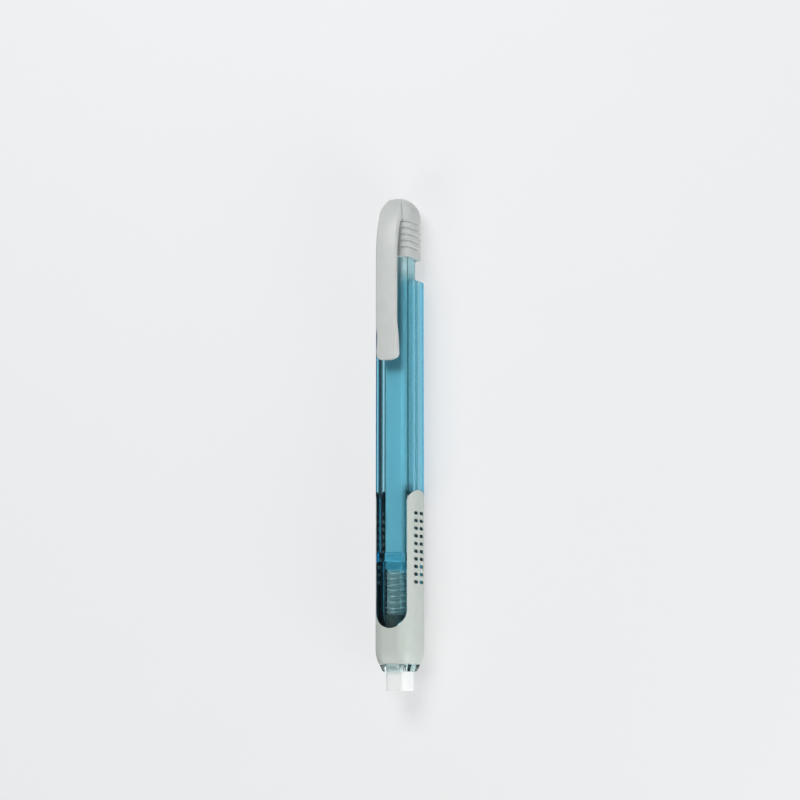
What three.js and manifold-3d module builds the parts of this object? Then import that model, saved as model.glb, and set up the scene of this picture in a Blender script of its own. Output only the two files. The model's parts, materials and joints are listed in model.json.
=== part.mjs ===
// A push-button eraser pen: a square stick of eraser in a clear tube, held by a four-fingered clutch that opens
// as the button is pressed. The pen lies on its back along Y, button to +Y, with its clip on top.
// All sizes are in millimetres. Stations along the pen are counted from the mouth of the nose towards the button.

import * as THREE from 'three';
import { mergeVertices } from 'three/addons/utils/BufferGeometryUtils.js';
import Module from 'manifold-3d';

// Eraser stick
const ERASER_SIDE = 6.3;
const ERASER_CORNER = 1.2;
const ERASER_LENGTH = 128;
const ERASER_REACH = 7.57; // shows past the nose

// Fits between the pieces
const STICK_CLEARANCE = 0.15; // round the stick
const SLIP_FIT = 0.12; // each side of parts pushed into each other
const RUNNING_CLEARANCE = 0.2; // each side of parts that slide in each other
const JOINT_GAP = 0.2; // between end faces that meet

// Inner tube
const TUBE_WALL = 0.5;
const TUBE_CORNER = 2;

// Clutch
const JAW_WALL = 0.6;
const JAW_WIDTH = 3.7;
const JAW_REACH = 2.15; // shows past the nose
const JAW_HEAD_STEP = 0.25; // head proud of the neck
const JAW_HEAD_LENGTH = 2.7;
const JAW_TAPER = 1.5; // from the head down to the neck
const JAW_LIP_INSET = 0.12; // of the lip from the end of the nose
const JAW_TIP_DRAW = 1; // how far the lip draws in to its tip
const JAW_SLIT = 0.5;
const COLLAR_THICKNESS = 2.1;

// Return spring
const SPRING_WIRE = 0.45;
const SPRING_SPACE = 12.7; // between its seats at rest
const SPRING_CLEARANCE = 0.14; // inside the coils, round the jaws
const CHAMBER_CLEARANCE = 0.085; // outside the coils
const FRONT_CLOSED_TURNS = 1;
const OPEN_TURNS = 6;
const REAR_CLOSED_TURNS = 1;
const CLOSED_GAP = 0.45; // between the closed turns

// Barrel
const CHAMBER_WALL = 0.55; // round the spring, at the flats under the grip
const BARREL_WALL = 1.25; // behind the spring
const BARREL_CORNER = 4.2;
const STICK_OVERRUN = 10.78; // of a whole stick past the rear rim
const GUIDE_LENGTH = 2.5; // ring inside that guides the tube

// Grip sleeve
const GRIP_WALL = 0.6;
const GRIP_LENGTH = 49.15; // nose to the top of the side arms
const ARCH_RISE = 3.6; // of the arms' round tops
const NOSE_FLOOR = 5.2; // thickness of the nose
const NOSE_ROUND = 4; // length of the rounded end
const NOSE_DRAW = 0.96; // how far the rounded end draws in
const SPIGOT_LENGTH = 8.5; // inner ring that enters the barrel and seats the spring
const WINDOW_START = 9.97; // bottom of the U-shaped windows
const SLOT_START = 22.97; // station of the first row of slots
const SLOT_ROWS = 10;
const SLOT_PITCH = 2.167;
const SLOT_LENGTH = 2.3;
const SLOT_HEIGHT = 0.95;
const SLOT_SPREAD = 1.57; // each column from the middle of the arm

// Push button
const BUTTON_WALL = 1.38;
const BUTTON_CORNER = 3.2;
const BUTTON_LENGTH = 18.08;
const BUTTON_CROWN = 3.7; // solid above the tube
const BUTTON_EDGE = 0.25; // bevel at the open end
const DOME_HEIGHT = 6;
const PRESS_GAP = 6.7; // bare tube between barrel and button
const RIB_START = 2.84; // first groove from the open end
const RIB_GROOVES = 5;
const RIB_PITCH = 1.87;
const GROOVE_WIDTH = 0.9;
const GROOVE_DEPTH = 0.5;

// Pocket clip
const CLIP_LENGTH = 48.5; // from the top of the button to the clip's free end
const CLIP_THICKNESS = 1.5;
const CLIP_GAP = 1.3; // over the barrel
const CLIP_ROOT_WIDTH = 7;
const CLIP_WAIST_WIDTH = 6.8;
const CLIP_END_WIDTH = 7.3;
const CLIP_END_CORNER = 2.4;
const CLIP_FOOT_HEIGHT = 4.2; // upright face of the foot
const CLIP_LIP_DROP = 0.6; // of the lip from the top of the button
const CLIP_LIP_INSET = 1.5; // of the lip from the upright face
const CLIP_SEAT_WALL = 0.58; // left on the button in front of the tube
const CLIP_SHOULDER = 18.4; // where the round shoulder ends, from the top of the button
const CLIP_BEND = 6.9; // where the shoulder turns, from the top of the button
const CLIP_ROOT_GAP = 0.4; // over the button, under the root
const CLIP_NECK_LENGTH = 9; // from the root's width down to the waist's
const CLIP_FLARE_LENGTH = 9.8; // from the waist out to the free end
const CLIP_DIP = 0.8; // of the free end towards the barrel
const CLIP_DIP_START = 11.6; // from the free end
const CLIP_DIP_END = 6; // from the free end
const CLIP_NIB_HEIGHT = 0.35;
const CLIP_NIB_LENGTH = 3.2;
const CLIP_NIB_INSET = 2; // of the nib from the free end

// Facets
const ARC_STEPS = 6; // in each quarter turn
const DOME_STEPS = 7;
const DOME_END = THREE.MathUtils.degToRad(80); // angle where the dome's flat top starts
const CURL_STEPS = 8;
const WIRE_SIDES = 5;
const GAP_STEPS = 40; // points in each turn where the spring's gap to itself is measured
const OVERCUT = 1; // how far a cutting shape runs past what it cuts

// Sizes across the pen, worked outwards from the stick
const eraserHalf = ERASER_SIDE / 2;
const boreHalf = eraserHalf + STICK_CLEARANCE;
const boreCorner = ERASER_CORNER + STICK_CLEARANCE;
const tubeHalf = boreHalf + TUBE_WALL;
const jawRadius = boreHalf + JAW_WALL;
const jawHeadHalf = jawRadius + JAW_HEAD_STEP;
const jawHeadCorner = boreCorner + JAW_WALL + JAW_HEAD_STEP;
const mouthHalf = jawHeadHalf + RUNNING_CLEARANCE;
const mouthCorner = jawHeadCorner + RUNNING_CLEARANCE;
const chordShare = Math.cos(Math.PI / CURL_STEPS); // middle of a straight step over the coil's radius
const coilRadius = (jawRadius + SPRING_CLEARANCE + SPRING_WIRE / 2) / chordShare;
const chamberRadius = coilRadius + SPRING_WIRE / 2 + CHAMBER_CLEARANCE;
const collarRadius = chamberRadius - SLIP_FIT;
const gripDepth = GRIP_WALL + SLIP_FIT;
const barrelHalf = chamberRadius + CHAMBER_WALL + gripDepth;
const cornerReach = barrelHalf - BARREL_CORNER * (1 - Math.SQRT1_2); // middle of a rounded corner
const jawLipHalf = barrelHalf - NOSE_DRAW - JAW_LIP_INSET;
const jawLipCorner = BARREL_CORNER - NOSE_DRAW - JAW_LIP_INSET;
const guideHalf = tubeHalf + RUNNING_CLEARANCE;
const guideCorner = TUBE_CORNER + RUNNING_CLEARANCE;
const socketHalf = tubeHalf + SLIP_FIT;
const socketCorner = TUBE_CORNER + SLIP_FIT;
const buttonHalf = tubeHalf + SLIP_FIT + BUTTON_WALL;
const clipUnder = barrelHalf + CLIP_GAP;
const clipOuter = clipUnder + CLIP_THICKNESS;

// Stations along the pen
const springSeat = NOSE_FLOOR + SPIGOT_LENGTH;
const collarFront = springSeat + SPRING_SPACE;
const collarRear = collarFront + COLLAR_THICKNESS;
const guideFront = collarRear + JOINT_GAP;
const guideRear = guideFront + GUIDE_LENGTH;
const tubeFront = collarRear + JOINT_GAP;
const eraserRear = ERASER_LENGTH - ERASER_REACH;
const barrelRear = eraserRear - STICK_OVERRUN;
const buttonFront = barrelRear + PRESS_GAP;
const buttonRear = buttonFront + BUTTON_LENGTH;
const domeStart = buttonRear - DOME_HEIGHT;
const socketFloor = buttonRear - BUTTON_CROWN;
const tubeRear = socketFloor - JOINT_GAP;
const clipEnd = buttonRear - CLIP_LENGTH;
const clipLip = buttonRear - CLIP_LIP_DROP;
const clipFootTop = socketFloor + JOINT_GAP;
const clipFootFront = clipFootTop - CLIP_FOOT_HEIGHT;
const clipSeat = socketHalf + CLIP_SEAT_WALL; // height of the flat on the button that the foot sits against
const clipFace = clipSeat + JOINT_GAP;

const wasm = await Module();
wasm.setup();

// Turns a closed geometry into a solid that can be joined and cut
function solidOf(geometry) {
  const bare = geometry.clone();
  bare.deleteAttribute('normal');
  bare.deleteAttribute('uv');
  const merged = mergeVertices(bare, 1e-5);
  const corners = merged.index.array;
  const triangles = [];
  for (let i = 0; i < corners.length; i += 3) {
    const [a, b, c] = corners.slice(i, i + 3);
    if (a !== b && b !== c && c !== a) {
      triangles.push(a, b, c);
    }
  }
  const mesh = new wasm.Mesh({
    numProp: 3,
    vertProperties: new Float32Array(merged.attributes.position.array),
    triVerts: new Uint32Array(triangles),
  });
  return new wasm.Manifold(mesh);
}

// Turns a solid back into a geometry
function geometryOf(solid) {
  const mesh = solid.getMesh();
  const geometry = new THREE.BufferGeometry();
  geometry.setAttribute('position', new THREE.BufferAttribute(new Float32Array(mesh.vertProperties), 3));
  geometry.setIndex(new THREE.BufferAttribute(new Uint32Array(mesh.triVerts), 1));
  geometry.computeVertexNormals();
  return geometry;
}

// Skins rings of equally many points, in order along the pen, and closes both ends
function skin(rings) {
  const positions = rings.flat().flatMap((point) => point.toArray());
  const count = rings[0].length;
  const faces = [];
  for (let k = 0; k + 1 < rings.length; k++) {
    for (let i = 0; i < count; i++) {
      const a = k * count + i;
      const b = k * count + (i + 1) % count;
      faces.push(a, b, b + count, a, b + count, a + count);
    }
  }
  const last = (rings.length - 1) * count;
  for (let i = 1; i + 1 < count; i++) {
    faces.push(0, i + 1, i, last, last + i, last + i + 1);
  }
  const geometry = new THREE.BufferGeometry();
  geometry.setAttribute('position', new THREE.Float32BufferAttribute(positions, 3));
  geometry.setIndex(faces);
  return geometry;
}

// A rounded square across the pen. With the corner as large as the half side it is a circle.
function squareRing(station, half, corner) {
  const points = [];
  for (let quarter = 0; quarter < 4; quarter++) {
    const centre = new THREE.Vector2(half - corner, half - corner);
    centre.rotateAround(new THREE.Vector2(), quarter * Math.PI / 2);
    for (let step = 0; step <= ARC_STEPS; step++) {
      const angle = (quarter + step / ARC_STEPS) * Math.PI / 2;
      const x = centre.x + corner * Math.cos(angle);
      const y = centre.y + corner * Math.sin(angle);
      points.push(new THREE.Vector3(x, y, station));
    }
  }
  return points;
}

// A solid through a list of [station, half side, corner]
function loft(...sections) {
  return solidOf(skin(sections.map((section) => squareRing(...section))));
}

function prism(from, to, half, corner) {
  return loft([from, half, corner], [to, half, corner]);
}

function round(from, to, radius) {
  return prism(from, to, radius, radius);
}

// A box between two corners
function box(low, high) {
  const size = high.map((value, axis) => value - low[axis]);
  const geometry = new THREE.BoxGeometry(...size);
  geometry.translate(...low.map((value, axis) => value + size[axis] / 2));
  return solidOf(geometry);
}

// Extrudes a shape across the pen. A side view has height over the axis and station, and an
// upper view has the sideways place and station.
const heightAxis = new THREE.Vector3(0, -1, 0);
const sidewaysAxis = new THREE.Vector3(1, 0, 0);
const stationAxis = new THREE.Vector3(0, 0, 1);
const sideView = new THREE.Matrix4().makeBasis(heightAxis, stationAxis, sidewaysAxis.clone().negate());
const upperView = new THREE.Matrix4().makeBasis(sidewaysAxis, stationAxis, heightAxis);

function across(shape, depth, view) {
  const geometry = new THREE.ExtrudeGeometry(shape, { depth, bevelEnabled: false, curveSegments: ARC_STEPS });
  geometry.translate(0, 0, -depth / 2);
  geometry.applyMatrix4(view);
  return solidOf(geometry);
}

// Long enough to run right through the pen from side to side
const throughPen = 2 * (clipOuter + barrelHalf);

// The window's outline seen from above: a U that is open towards the button, drawn in by an inset
function windowCut(inset) {
  const half = cornerReach - inset;
  const bottom = WINDOW_START + inset + half;
  const top = GRIP_LENGTH + ARCH_RISE + OVERCUT;
  const shape = new THREE.Shape();
  shape.moveTo(half, top);
  shape.lineTo(-half, top);
  shape.lineTo(-half, bottom);
  shape.absarc(0, bottom, half, Math.PI, 2 * Math.PI);
  shape.closePath();
  return across(shape, throughPen, upperView);
}

// All that lies behind the arms' round tops, seen from the side, with the tops raised by a rise
function archCut(rise) {
  const shoulder = GRIP_LENGTH - ARCH_RISE + rise;
  const half = cornerReach + rise;
  const edge = barrelHalf + OVERCUT;
  const top = GRIP_LENGTH + ARCH_RISE + OVERCUT;
  const shape = new THREE.Shape();
  shape.moveTo(edge, top);
  shape.lineTo(-edge, top);
  shape.lineTo(-edge, shoulder);
  shape.lineTo(-half, shoulder);
  shape.absellipse(0, shoulder, half, ARCH_RISE, Math.PI, 0, true);
  shape.lineTo(edge, shoulder);
  shape.closePath();
  return across(shape, throughPen, sideView);
}

function makeBarrel() {
  const front = NOSE_FLOOR + JOINT_GAP;
  const recessEnd = GRIP_LENGTH + OVERCUT;
  const boreCornerRear = BARREL_CORNER - BARREL_WALL;
  const recess = prism(front - OVERCUT, recessEnd, barrelHalf + OVERCUT, BARREL_CORNER + OVERCUT)
    .subtract(prism(front - 2 * OVERCUT, recessEnd + OVERCUT, barrelHalf - gripDepth, BARREL_CORNER - gripDepth))
    .subtract(windowCut(SLIP_FIT))
    .subtract(archCut(SLIP_FIT));
  return prism(front, barrelRear, barrelHalf, BARREL_CORNER)
    .subtract(recess)
    .subtract(round(front - OVERCUT, guideFront, chamberRadius))
    .subtract(prism(guideFront - OVERCUT, guideRear + OVERCUT, guideHalf, guideCorner))
    .subtract(prism(guideRear, barrelRear + OVERCUT, barrelHalf - BARREL_WALL, boreCornerRear));
}

// The nose draws in along a parabola, which the clutch's lip carries on
function noseSections() {
  const sections = [];
  for (let step = 0; step <= ARC_STEPS; step++) {
    const share = step / ARC_STEPS;
    const inset = NOSE_DRAW * (1 - share) ** 2;
    sections.push([NOSE_ROUND * share, barrelHalf - inset, BARREL_CORNER - inset]);
  }
  return sections;
}

function gripSlots() {
  const slots = [];
  for (let row = 0; row < SLOT_ROWS; row++) {
    const station = SLOT_START + row * SLOT_PITCH;
    for (const column of [-SLOT_SPREAD, SLOT_SPREAD]) {
      const low = [-barrelHalf - OVERCUT, column - SLOT_LENGTH / 2, station - SLOT_HEIGHT / 2];
      const high = [barrelHalf + OVERCUT, column + SLOT_LENGTH / 2, station + SLOT_HEIGHT / 2];
      slots.push(box(low, high));
    }
  }
  return slots;
}

function makeGripSleeve() {
  const top = GRIP_LENGTH + OVERCUT;
  const spigot = round(NOSE_FLOOR - GRIP_WALL, springSeat, chamberRadius - SLIP_FIT)
    .subtract(round(NOSE_FLOOR - 2 * GRIP_WALL, springSeat + OVERCUT, mouthHalf));
  let sleeve = loft(...noseSections(), [top, barrelHalf, BARREL_CORNER])
    .subtract(prism(NOSE_FLOOR, top + OVERCUT, barrelHalf - GRIP_WALL, BARREL_CORNER - GRIP_WALL))
    .subtract(windowCut(0))
    .subtract(archCut(0));
  for (const slot of gripSlots()) {
    sleeve = sleeve.subtract(slot);
  }
  const mouth = prism(-OVERCUT, NOSE_FLOOR, mouthHalf, mouthCorner);
  return sleeve.add(spigot).subtract(mouth);
}

function makeInnerTube() {
  return prism(tubeFront, tubeRear, tubeHalf, TUBE_CORNER)
    .subtract(prism(tubeFront - OVERCUT, tubeRear + OVERCUT, boreHalf, boreCorner));
}

function makeCollar() {
  return round(collarFront, collarRear, collarRadius)
    .subtract(prism(collarFront - OVERCUT, collarRear + OVERCUT, boreHalf, boreCorner));
}

// One finger of the clutch, on the clip's side of the stick
function makeJaw() {
  const root = collarFront - JOINT_GAP;
  const tip = -JAW_REACH;
  const lipEnd = -JOINT_GAP;
  const headEnd = tip + JAW_HEAD_LENGTH;
  const neckStart = headEnd + JAW_TAPER;
  const bore = prism(tip - OVERCUT, root + OVERCUT, boreHalf, boreCorner);
  const wedgeReach = jawLipHalf + OVERCUT;
  const wedgeDrop = JAW_SLIT * Math.SQRT1_2;
  const wedge = new THREE.Shape();
  wedge.moveTo(0, -wedgeDrop);
  wedge.lineTo(-wedgeReach, -wedgeReach - wedgeDrop);
  wedge.lineTo(wedgeReach, -wedgeReach - wedgeDrop);
  wedge.closePath();
  const wedgeGeometry = new THREE.ExtrudeGeometry(wedge, { depth: neckStart - tip, bevelEnabled: false });
  wedgeGeometry.translate(0, 0, tip);
  const head = loft(
    [tip, jawLipHalf - JAW_TIP_DRAW, jawLipCorner - JAW_TIP_DRAW],
    [lipEnd, jawLipHalf, jawLipCorner],
    [lipEnd, jawHeadHalf, jawHeadCorner],
    [headEnd, jawHeadHalf, jawHeadCorner],
    [neckStart, jawRadius, jawRadius],
  ).intersect(solidOf(wedgeGeometry));
  const strip = box([-JAW_WIDTH / 2, -wedgeReach, headEnd], [JAW_WIDTH / 2, 0, root]);
  const neck = round(headEnd, root, jawRadius).intersect(strip);
  return head.add(neck).subtract(bore);
}

// The coil's middle line, from its front seat to its rear one, closed up at both ends
const springTurns = FRONT_CLOSED_TURNS + OPEN_TURNS + REAR_CLOSED_TURNS;

function coilPoint(turn) {
  const closedPitch = SPRING_WIRE + CLOSED_GAP;
  const closedLength = closedPitch * (FRONT_CLOSED_TURNS + REAR_CLOSED_TURNS);
  const openPitch = (SPRING_SPACE - 2 * JOINT_GAP - SPRING_WIRE - closedLength) / OPEN_TURNS;
  const openStretch = THREE.MathUtils.clamp(turn - FRONT_CLOSED_TURNS, 0, OPEN_TURNS);
  const climb = closedPitch * (turn - openStretch) + openPitch * openStretch;
  const angle = 2 * Math.PI * turn;
  const station = springSeat + JOINT_GAP + SPRING_WIRE / 2 + climb;
  return new THREE.Vector3(coilRadius * Math.cos(angle), coilRadius * Math.sin(angle), station);
}

function wireRing(point, angle) {
  const outward = new THREE.Vector3(Math.cos(angle), Math.sin(angle), 0);
  const ring = [];
  for (let side = 0; side < WIRE_SIDES; side++) {
    const turn = -2 * Math.PI * side / WIRE_SIDES;
    const corner = point.clone();
    corner.addScaledVector(outward, SPRING_WIRE / 2 * Math.cos(turn));
    corner.addScaledVector(stationAxis, SPRING_WIRE / 2 * Math.sin(turn));
    ring.push(corner);
  }
  return ring;
}

function makeSpring() {
  const steps = Math.round(springTurns * CURL_STEPS);
  const rings = [];
  for (let step = 0; step <= steps; step++) {
    const turn = springTurns * step / steps;
    rings.push(wireRing(coilPoint(turn), 2 * Math.PI * turn));
  }
  // Each end runs on straight for one thickness of the wire
  const endAngle = 2 * Math.PI * springTurns;
  const startRun = new THREE.Vector3(0, -SPRING_WIRE, 0);
  const endRun = new THREE.Vector3(-Math.sin(endAngle), Math.cos(endAngle), 0).multiplyScalar(SPRING_WIRE);
  rings.unshift(wireRing(coilPoint(0).add(startRun), 0));
  rings.push(wireRing(coilPoint(springTurns).add(endRun), endAngle));
  return solidOf(skin(rings));
}

// The least gap between the wire and its own neighbouring turns
function springGap() {
  const points = [];
  for (let i = 0; i <= springTurns * GAP_STEPS; i++) {
    points.push(coilPoint(i / GAP_STEPS));
  }
  let least = Infinity;
  for (let i = 0; i < points.length; i++) {
    for (let j = i + GAP_STEPS / 2; j < points.length; j++) {
      least = Math.min(least, points[i].distanceTo(points[j]));
    }
  }
  return least - SPRING_WIRE;
}

// Section of the button's outside under and over the start of its dome
function domeSections() {
  const sections = [];
  for (let step = 0; step <= DOME_STEPS; step++) {
    const angle = DOME_END * step / DOME_STEPS;
    const share = Math.cos(angle);
    const station = domeStart + DOME_HEIGHT * Math.sin(angle) / Math.sin(DOME_END);
    sections.push([station, buttonHalf * share, BUTTON_CORNER * share]);
  }
  return sections;
}

// The grooves between the ribs stop short of the clip's root
function ribGrooves() {
  const inner = prism(buttonFront - OVERCUT, buttonRear, buttonHalf - GROOVE_DEPTH, BUTTON_CORNER - GROOVE_DEPTH);
  const bare = CLIP_ROOT_WIDTH / 2 + JOINT_GAP;
  const front = box([-bare, -buttonHalf - 2 * OVERCUT, buttonFront - OVERCUT], [bare, 0, buttonRear]);
  const grooves = [];
  for (let i = 0; i < RIB_GROOVES; i++) {
    const middle = buttonFront + RIB_START + i * RIB_PITCH;
    const from = middle - GROOVE_WIDTH / 2;
    const to = middle + GROOVE_WIDTH / 2;
    grooves.push(prism(from, to, buttonHalf + OVERCUT, BUTTON_CORNER).subtract(inner).subtract(front));
  }
  return grooves;
}

// The foot's outline seen from the side, on its inner face, grown by a gap for the seat that takes it
function footInside(shape, outside, grow) {
  shape.moveTo(outside, clipFootFront - grow);
  shape.lineTo(clipFace - grow, clipFootFront - grow);
  shape.lineTo(clipFace - grow, clipFootTop);
  shape.lineTo(clipFace - CLIP_LIP_INSET - grow, clipLip);
}

function makePushButton() {
  const seat = new THREE.Shape();
  footInside(seat, clipUnder, JOINT_GAP);
  seat.lineTo(clipFace - CLIP_LIP_INSET - JOINT_GAP, buttonRear + OVERCUT);
  seat.lineTo(clipUnder, buttonRear + OVERCUT);
  seat.closePath();
  const edge = buttonFront + BUTTON_EDGE;
  let button = loft(
    [buttonFront, buttonHalf - BUTTON_EDGE, BUTTON_CORNER - BUTTON_EDGE],
    [edge, buttonHalf, BUTTON_CORNER],
    ...domeSections(),
  )
    .subtract(prism(buttonFront - OVERCUT, socketFloor, socketHalf, socketCorner))
    .subtract(across(seat, CLIP_ROOT_WIDTH + 2 * JOINT_GAP, sideView));
  for (const groove of ribGrooves()) {
    button = button.subtract(groove);
  }
  return button;
}

function clipSide() {
  const shoulder = buttonRear - CLIP_SHOULDER;
  const rootUnder = buttonHalf + CLIP_ROOT_GAP;
  const nibEnd = clipEnd + CLIP_NIB_INSET;
  const nibMiddle = nibEnd + CLIP_NIB_LENGTH / 2;
  const dipStart = clipEnd + CLIP_DIP_START;
  const dipEnd = clipEnd + CLIP_DIP_END;
  const dipMiddle = (dipStart + dipEnd) / 2;
  const dipQuarter = (dipStart - dipEnd) / 4;
  const endOuter = clipOuter - CLIP_DIP;
  const endUnder = clipUnder - CLIP_DIP;
  const shape = new THREE.Shape();
  footInside(shape, rootUnder, 0);
  shape.quadraticCurveTo(clipOuter, buttonRear - CLIP_BEND, clipOuter, shoulder);
  shape.lineTo(clipOuter, dipStart);
  shape.quadraticCurveTo(clipOuter, dipStart - dipQuarter, clipOuter - CLIP_DIP / 2, dipMiddle);
  shape.quadraticCurveTo(endOuter, dipEnd + dipQuarter, endOuter, dipEnd);
  shape.lineTo(endOuter, clipEnd);
  shape.lineTo(endUnder, clipEnd);
  shape.lineTo(endUnder, nibEnd);
  shape.quadraticCurveTo(endUnder - 2 * CLIP_NIB_HEIGHT, nibMiddle, endUnder, nibEnd + CLIP_NIB_LENGTH);
  shape.lineTo(endUnder, dipEnd);
  shape.quadraticCurveTo(endUnder, dipEnd + dipQuarter, clipUnder - CLIP_DIP / 2, dipMiddle);
  shape.quadraticCurveTo(clipUnder, dipStart - dipQuarter, clipUnder, dipStart);
  shape.lineTo(clipUnder, shoulder);
  shape.quadraticCurveTo(clipUnder, (shoulder + clipFootFront) / 2, rootUnder, clipFootFront);
  shape.closePath();
  return shape;
}

function clipFront() {
  const root = CLIP_ROOT_WIDTH / 2;
  const waist = CLIP_WAIST_WIDTH / 2;
  const end = CLIP_END_WIDTH / 2;
  const waistTop = clipFootFront - CLIP_NECK_LENGTH;
  const waistEnd = clipEnd + CLIP_FLARE_LENGTH;
  const corner = clipEnd + CLIP_END_CORNER;
  const shape = new THREE.Shape();
  shape.moveTo(root, domeStart);
  shape.absellipse(0, domeStart, root, DOME_HEIGHT, 0, Math.PI);
  shape.lineTo(-root, clipFootFront);
  shape.quadraticCurveTo(-waist, (clipFootFront + waistTop) / 2, -waist, waistTop);
  shape.lineTo(-waist, waistEnd);
  shape.quadraticCurveTo(-waist, (waistEnd + corner) / 2, -end, corner);
  shape.quadraticCurveTo(-end, clipEnd, -end + CLIP_END_CORNER, clipEnd);
  shape.lineTo(end - CLIP_END_CORNER, clipEnd);
  shape.quadraticCurveTo(end, clipEnd, end, corner);
  shape.quadraticCurveTo(waist, (waistEnd + corner) / 2, waist, waistEnd);
  shape.lineTo(waist, waistTop);
  shape.quadraticCurveTo(waist, (clipFootFront + waistTop) / 2, root, clipFootFront);
  shape.closePath();
  return shape;
}

function makeClip() {
  const width = Math.max(CLIP_ROOT_WIDTH, CLIP_WAIST_WIDTH, CLIP_END_WIDTH) + OVERCUT;
  return across(clipSide(), width, sideView).intersect(across(clipFront(), throughPen, upperView));
}

function makeEraser() {
  return prism(-ERASER_REACH, eraserRear, eraserHalf, ERASER_CORNER);
}

// Materials
const clearBlue = new THREE.MeshStandardMaterial({
  color: 0x4f9fc6, roughness: 0.12, metalness: 0, transparent: true, opacity: 0.45,
});
const clearTeal = new THREE.MeshStandardMaterial({
  color: 0x86c8cf, roughness: 0.15, metalness: 0, transparent: true, opacity: 0.5,
});
const buttonGrey = new THREE.MeshStandardMaterial({ color: 0xc1c4c4, roughness: 0.4, metalness: 0 });
const gripGrey = new THREE.MeshStandardMaterial({ color: 0xc4cac6, roughness: 0.5, metalness: 0 });
const springSteel = new THREE.MeshStandardMaterial({ color: 0xb9bdc0, roughness: 0.3, metalness: 1 });
const eraserWhite = new THREE.MeshStandardMaterial({ color: 0xf3f6f4, roughness: 0.85, metalness: 0 });

// The pen stands on its nose in its own group, which is then laid on its back
const pen = new THREE.Group();
pen.rotation.x = -Math.PI / 2;
pen.position.set(0, (ERASER_REACH - buttonRear) / 2, barrelHalf);

function addPiece(name, solid, material) {
  const mesh = new THREE.Mesh(geometryOf(solid), material);
  mesh.name = name;
  pen.add(mesh);
  return mesh;
}

addPiece('barrel', makeBarrel(), clearBlue);
addPiece('grip_sleeve', makeGripSleeve(), gripGrey);
addPiece('inner_tube', makeInnerTube(), clearTeal);
addPiece('chuck_collar', makeCollar(), clearTeal);
const jaw = makeJaw();
['top', 'right', 'bottom', 'left'].forEach((side, quarter) => {
  addPiece(`chuck_jaw_${side}`, jaw, clearTeal).rotation.z = quarter * Math.PI / 2;
});
addPiece('return_spring', makeSpring(), springSteel);
addPiece('push_button', makePushButton(), buttonGrey);
addPiece('pocket_clip', makeClip(), buttonGrey);
addPiece('eraser', makeEraser(), eraserWhite);

console.log(`return_spring: least gap to itself ${springGap().toFixed(2)} mm`);

const eraserPen = new THREE.Group();
eraserPen.add(pen);
export default eraserPen;
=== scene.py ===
"""A push-button eraser pen: clear barrel and tube, grey grip, button and clip, round a white stick."""

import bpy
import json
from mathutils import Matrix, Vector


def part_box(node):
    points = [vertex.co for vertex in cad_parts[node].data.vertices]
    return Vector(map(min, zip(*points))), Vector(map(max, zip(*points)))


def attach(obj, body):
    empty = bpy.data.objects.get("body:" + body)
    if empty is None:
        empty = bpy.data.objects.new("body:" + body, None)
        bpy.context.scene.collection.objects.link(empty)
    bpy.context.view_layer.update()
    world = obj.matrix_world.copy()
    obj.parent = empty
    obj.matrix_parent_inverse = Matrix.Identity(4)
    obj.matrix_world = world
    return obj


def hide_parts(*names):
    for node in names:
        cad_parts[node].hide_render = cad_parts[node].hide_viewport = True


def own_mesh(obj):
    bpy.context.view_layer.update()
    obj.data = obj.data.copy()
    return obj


bl_info = {
    "name": "Eraser Pen",
    "version": (1, 0, 0),
    "blender": (4, 5, 0),
    "location": "3D View > Sidebar > Eraser Pen",
    "description": "Builds a push-button eraser pen with a clear barrel, and the stage that it lies on",
    "category": "Add Mesh",
}

import json
from math import asin, atan, cos, pi, radians, sin, sqrt, tan

import bmesh
import bpy
from bpy.props import FloatProperty, FloatVectorProperty, IntProperty, PointerProperty
from bpy.types import Operator, Panel, PropertyGroup
from mathutils import Matrix, Vector

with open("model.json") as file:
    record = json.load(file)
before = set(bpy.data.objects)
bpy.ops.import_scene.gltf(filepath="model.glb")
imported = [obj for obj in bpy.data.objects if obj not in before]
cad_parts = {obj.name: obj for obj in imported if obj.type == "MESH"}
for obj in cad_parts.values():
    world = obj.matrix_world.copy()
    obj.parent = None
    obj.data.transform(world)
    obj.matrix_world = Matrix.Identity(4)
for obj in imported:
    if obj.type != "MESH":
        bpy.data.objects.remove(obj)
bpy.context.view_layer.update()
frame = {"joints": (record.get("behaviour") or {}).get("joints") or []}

MM = 0.001
PEN_AXIS = sum(corner.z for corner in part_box("eraser")) / 2  # height of the pen's middle line
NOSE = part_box("grip_sleeve")[0].y  # where the nose ends, at the mouth

ARC_STEPS = 20  # in each quarter turn of a rounded square
EASE_STEPS = 4  # in each eased corner of a profile
EASE_LIMIT = 0.45  # most of a side that an eased corner takes up
CURVE_STEPS = 16  # in each curve of an outline
CURVE_SLACK = 0.001  # how far past its ends a curve may still be read
COIL_STEPS = 48  # in each turn of the spring
WIRE_SIDES = 12  # round the spring's wire
WELD = 0.001 * MM  # points nearer than this are one point
POLE = 0.02 * MM  # half side of the small square that closes an end
CREASE = radians(34)  # edges that turn more than this stay crisp
OVERCUT = 1 * MM  # how far a cutting shape runs past what it cuts
PAINTED_SHADE_MAP = "inside"  # name of the grip's map of how far under its skin each point lies, by which its finish paints shade


# Sizes and colours that a user would change


def length(name, description, millimetres):
    return FloatProperty(
        name=name,
        description=description,
        default=millimetres * MM,
        min=0.0,
        precision=5,
        unit="LENGTH",
    )


def station(name, description, millimetres):
    """A place along the pen, from its middle."""
    return FloatProperty(name=name, description=description, default=millimetres * MM, unit="LENGTH")


def portion(name, description, amount):
    return FloatProperty(
        name=name, description=description, default=amount, min=0.0, max=1.0, subtype="FACTOR"
    )


def absorption(name, description, per_metre):
    return FloatProperty(name=name, description=description, default=per_metre, min=0.0)


def power(name, description, watts):
    return FloatProperty(name=name, description=description, default=watts, min=0.0, subtype="POWER")


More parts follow.
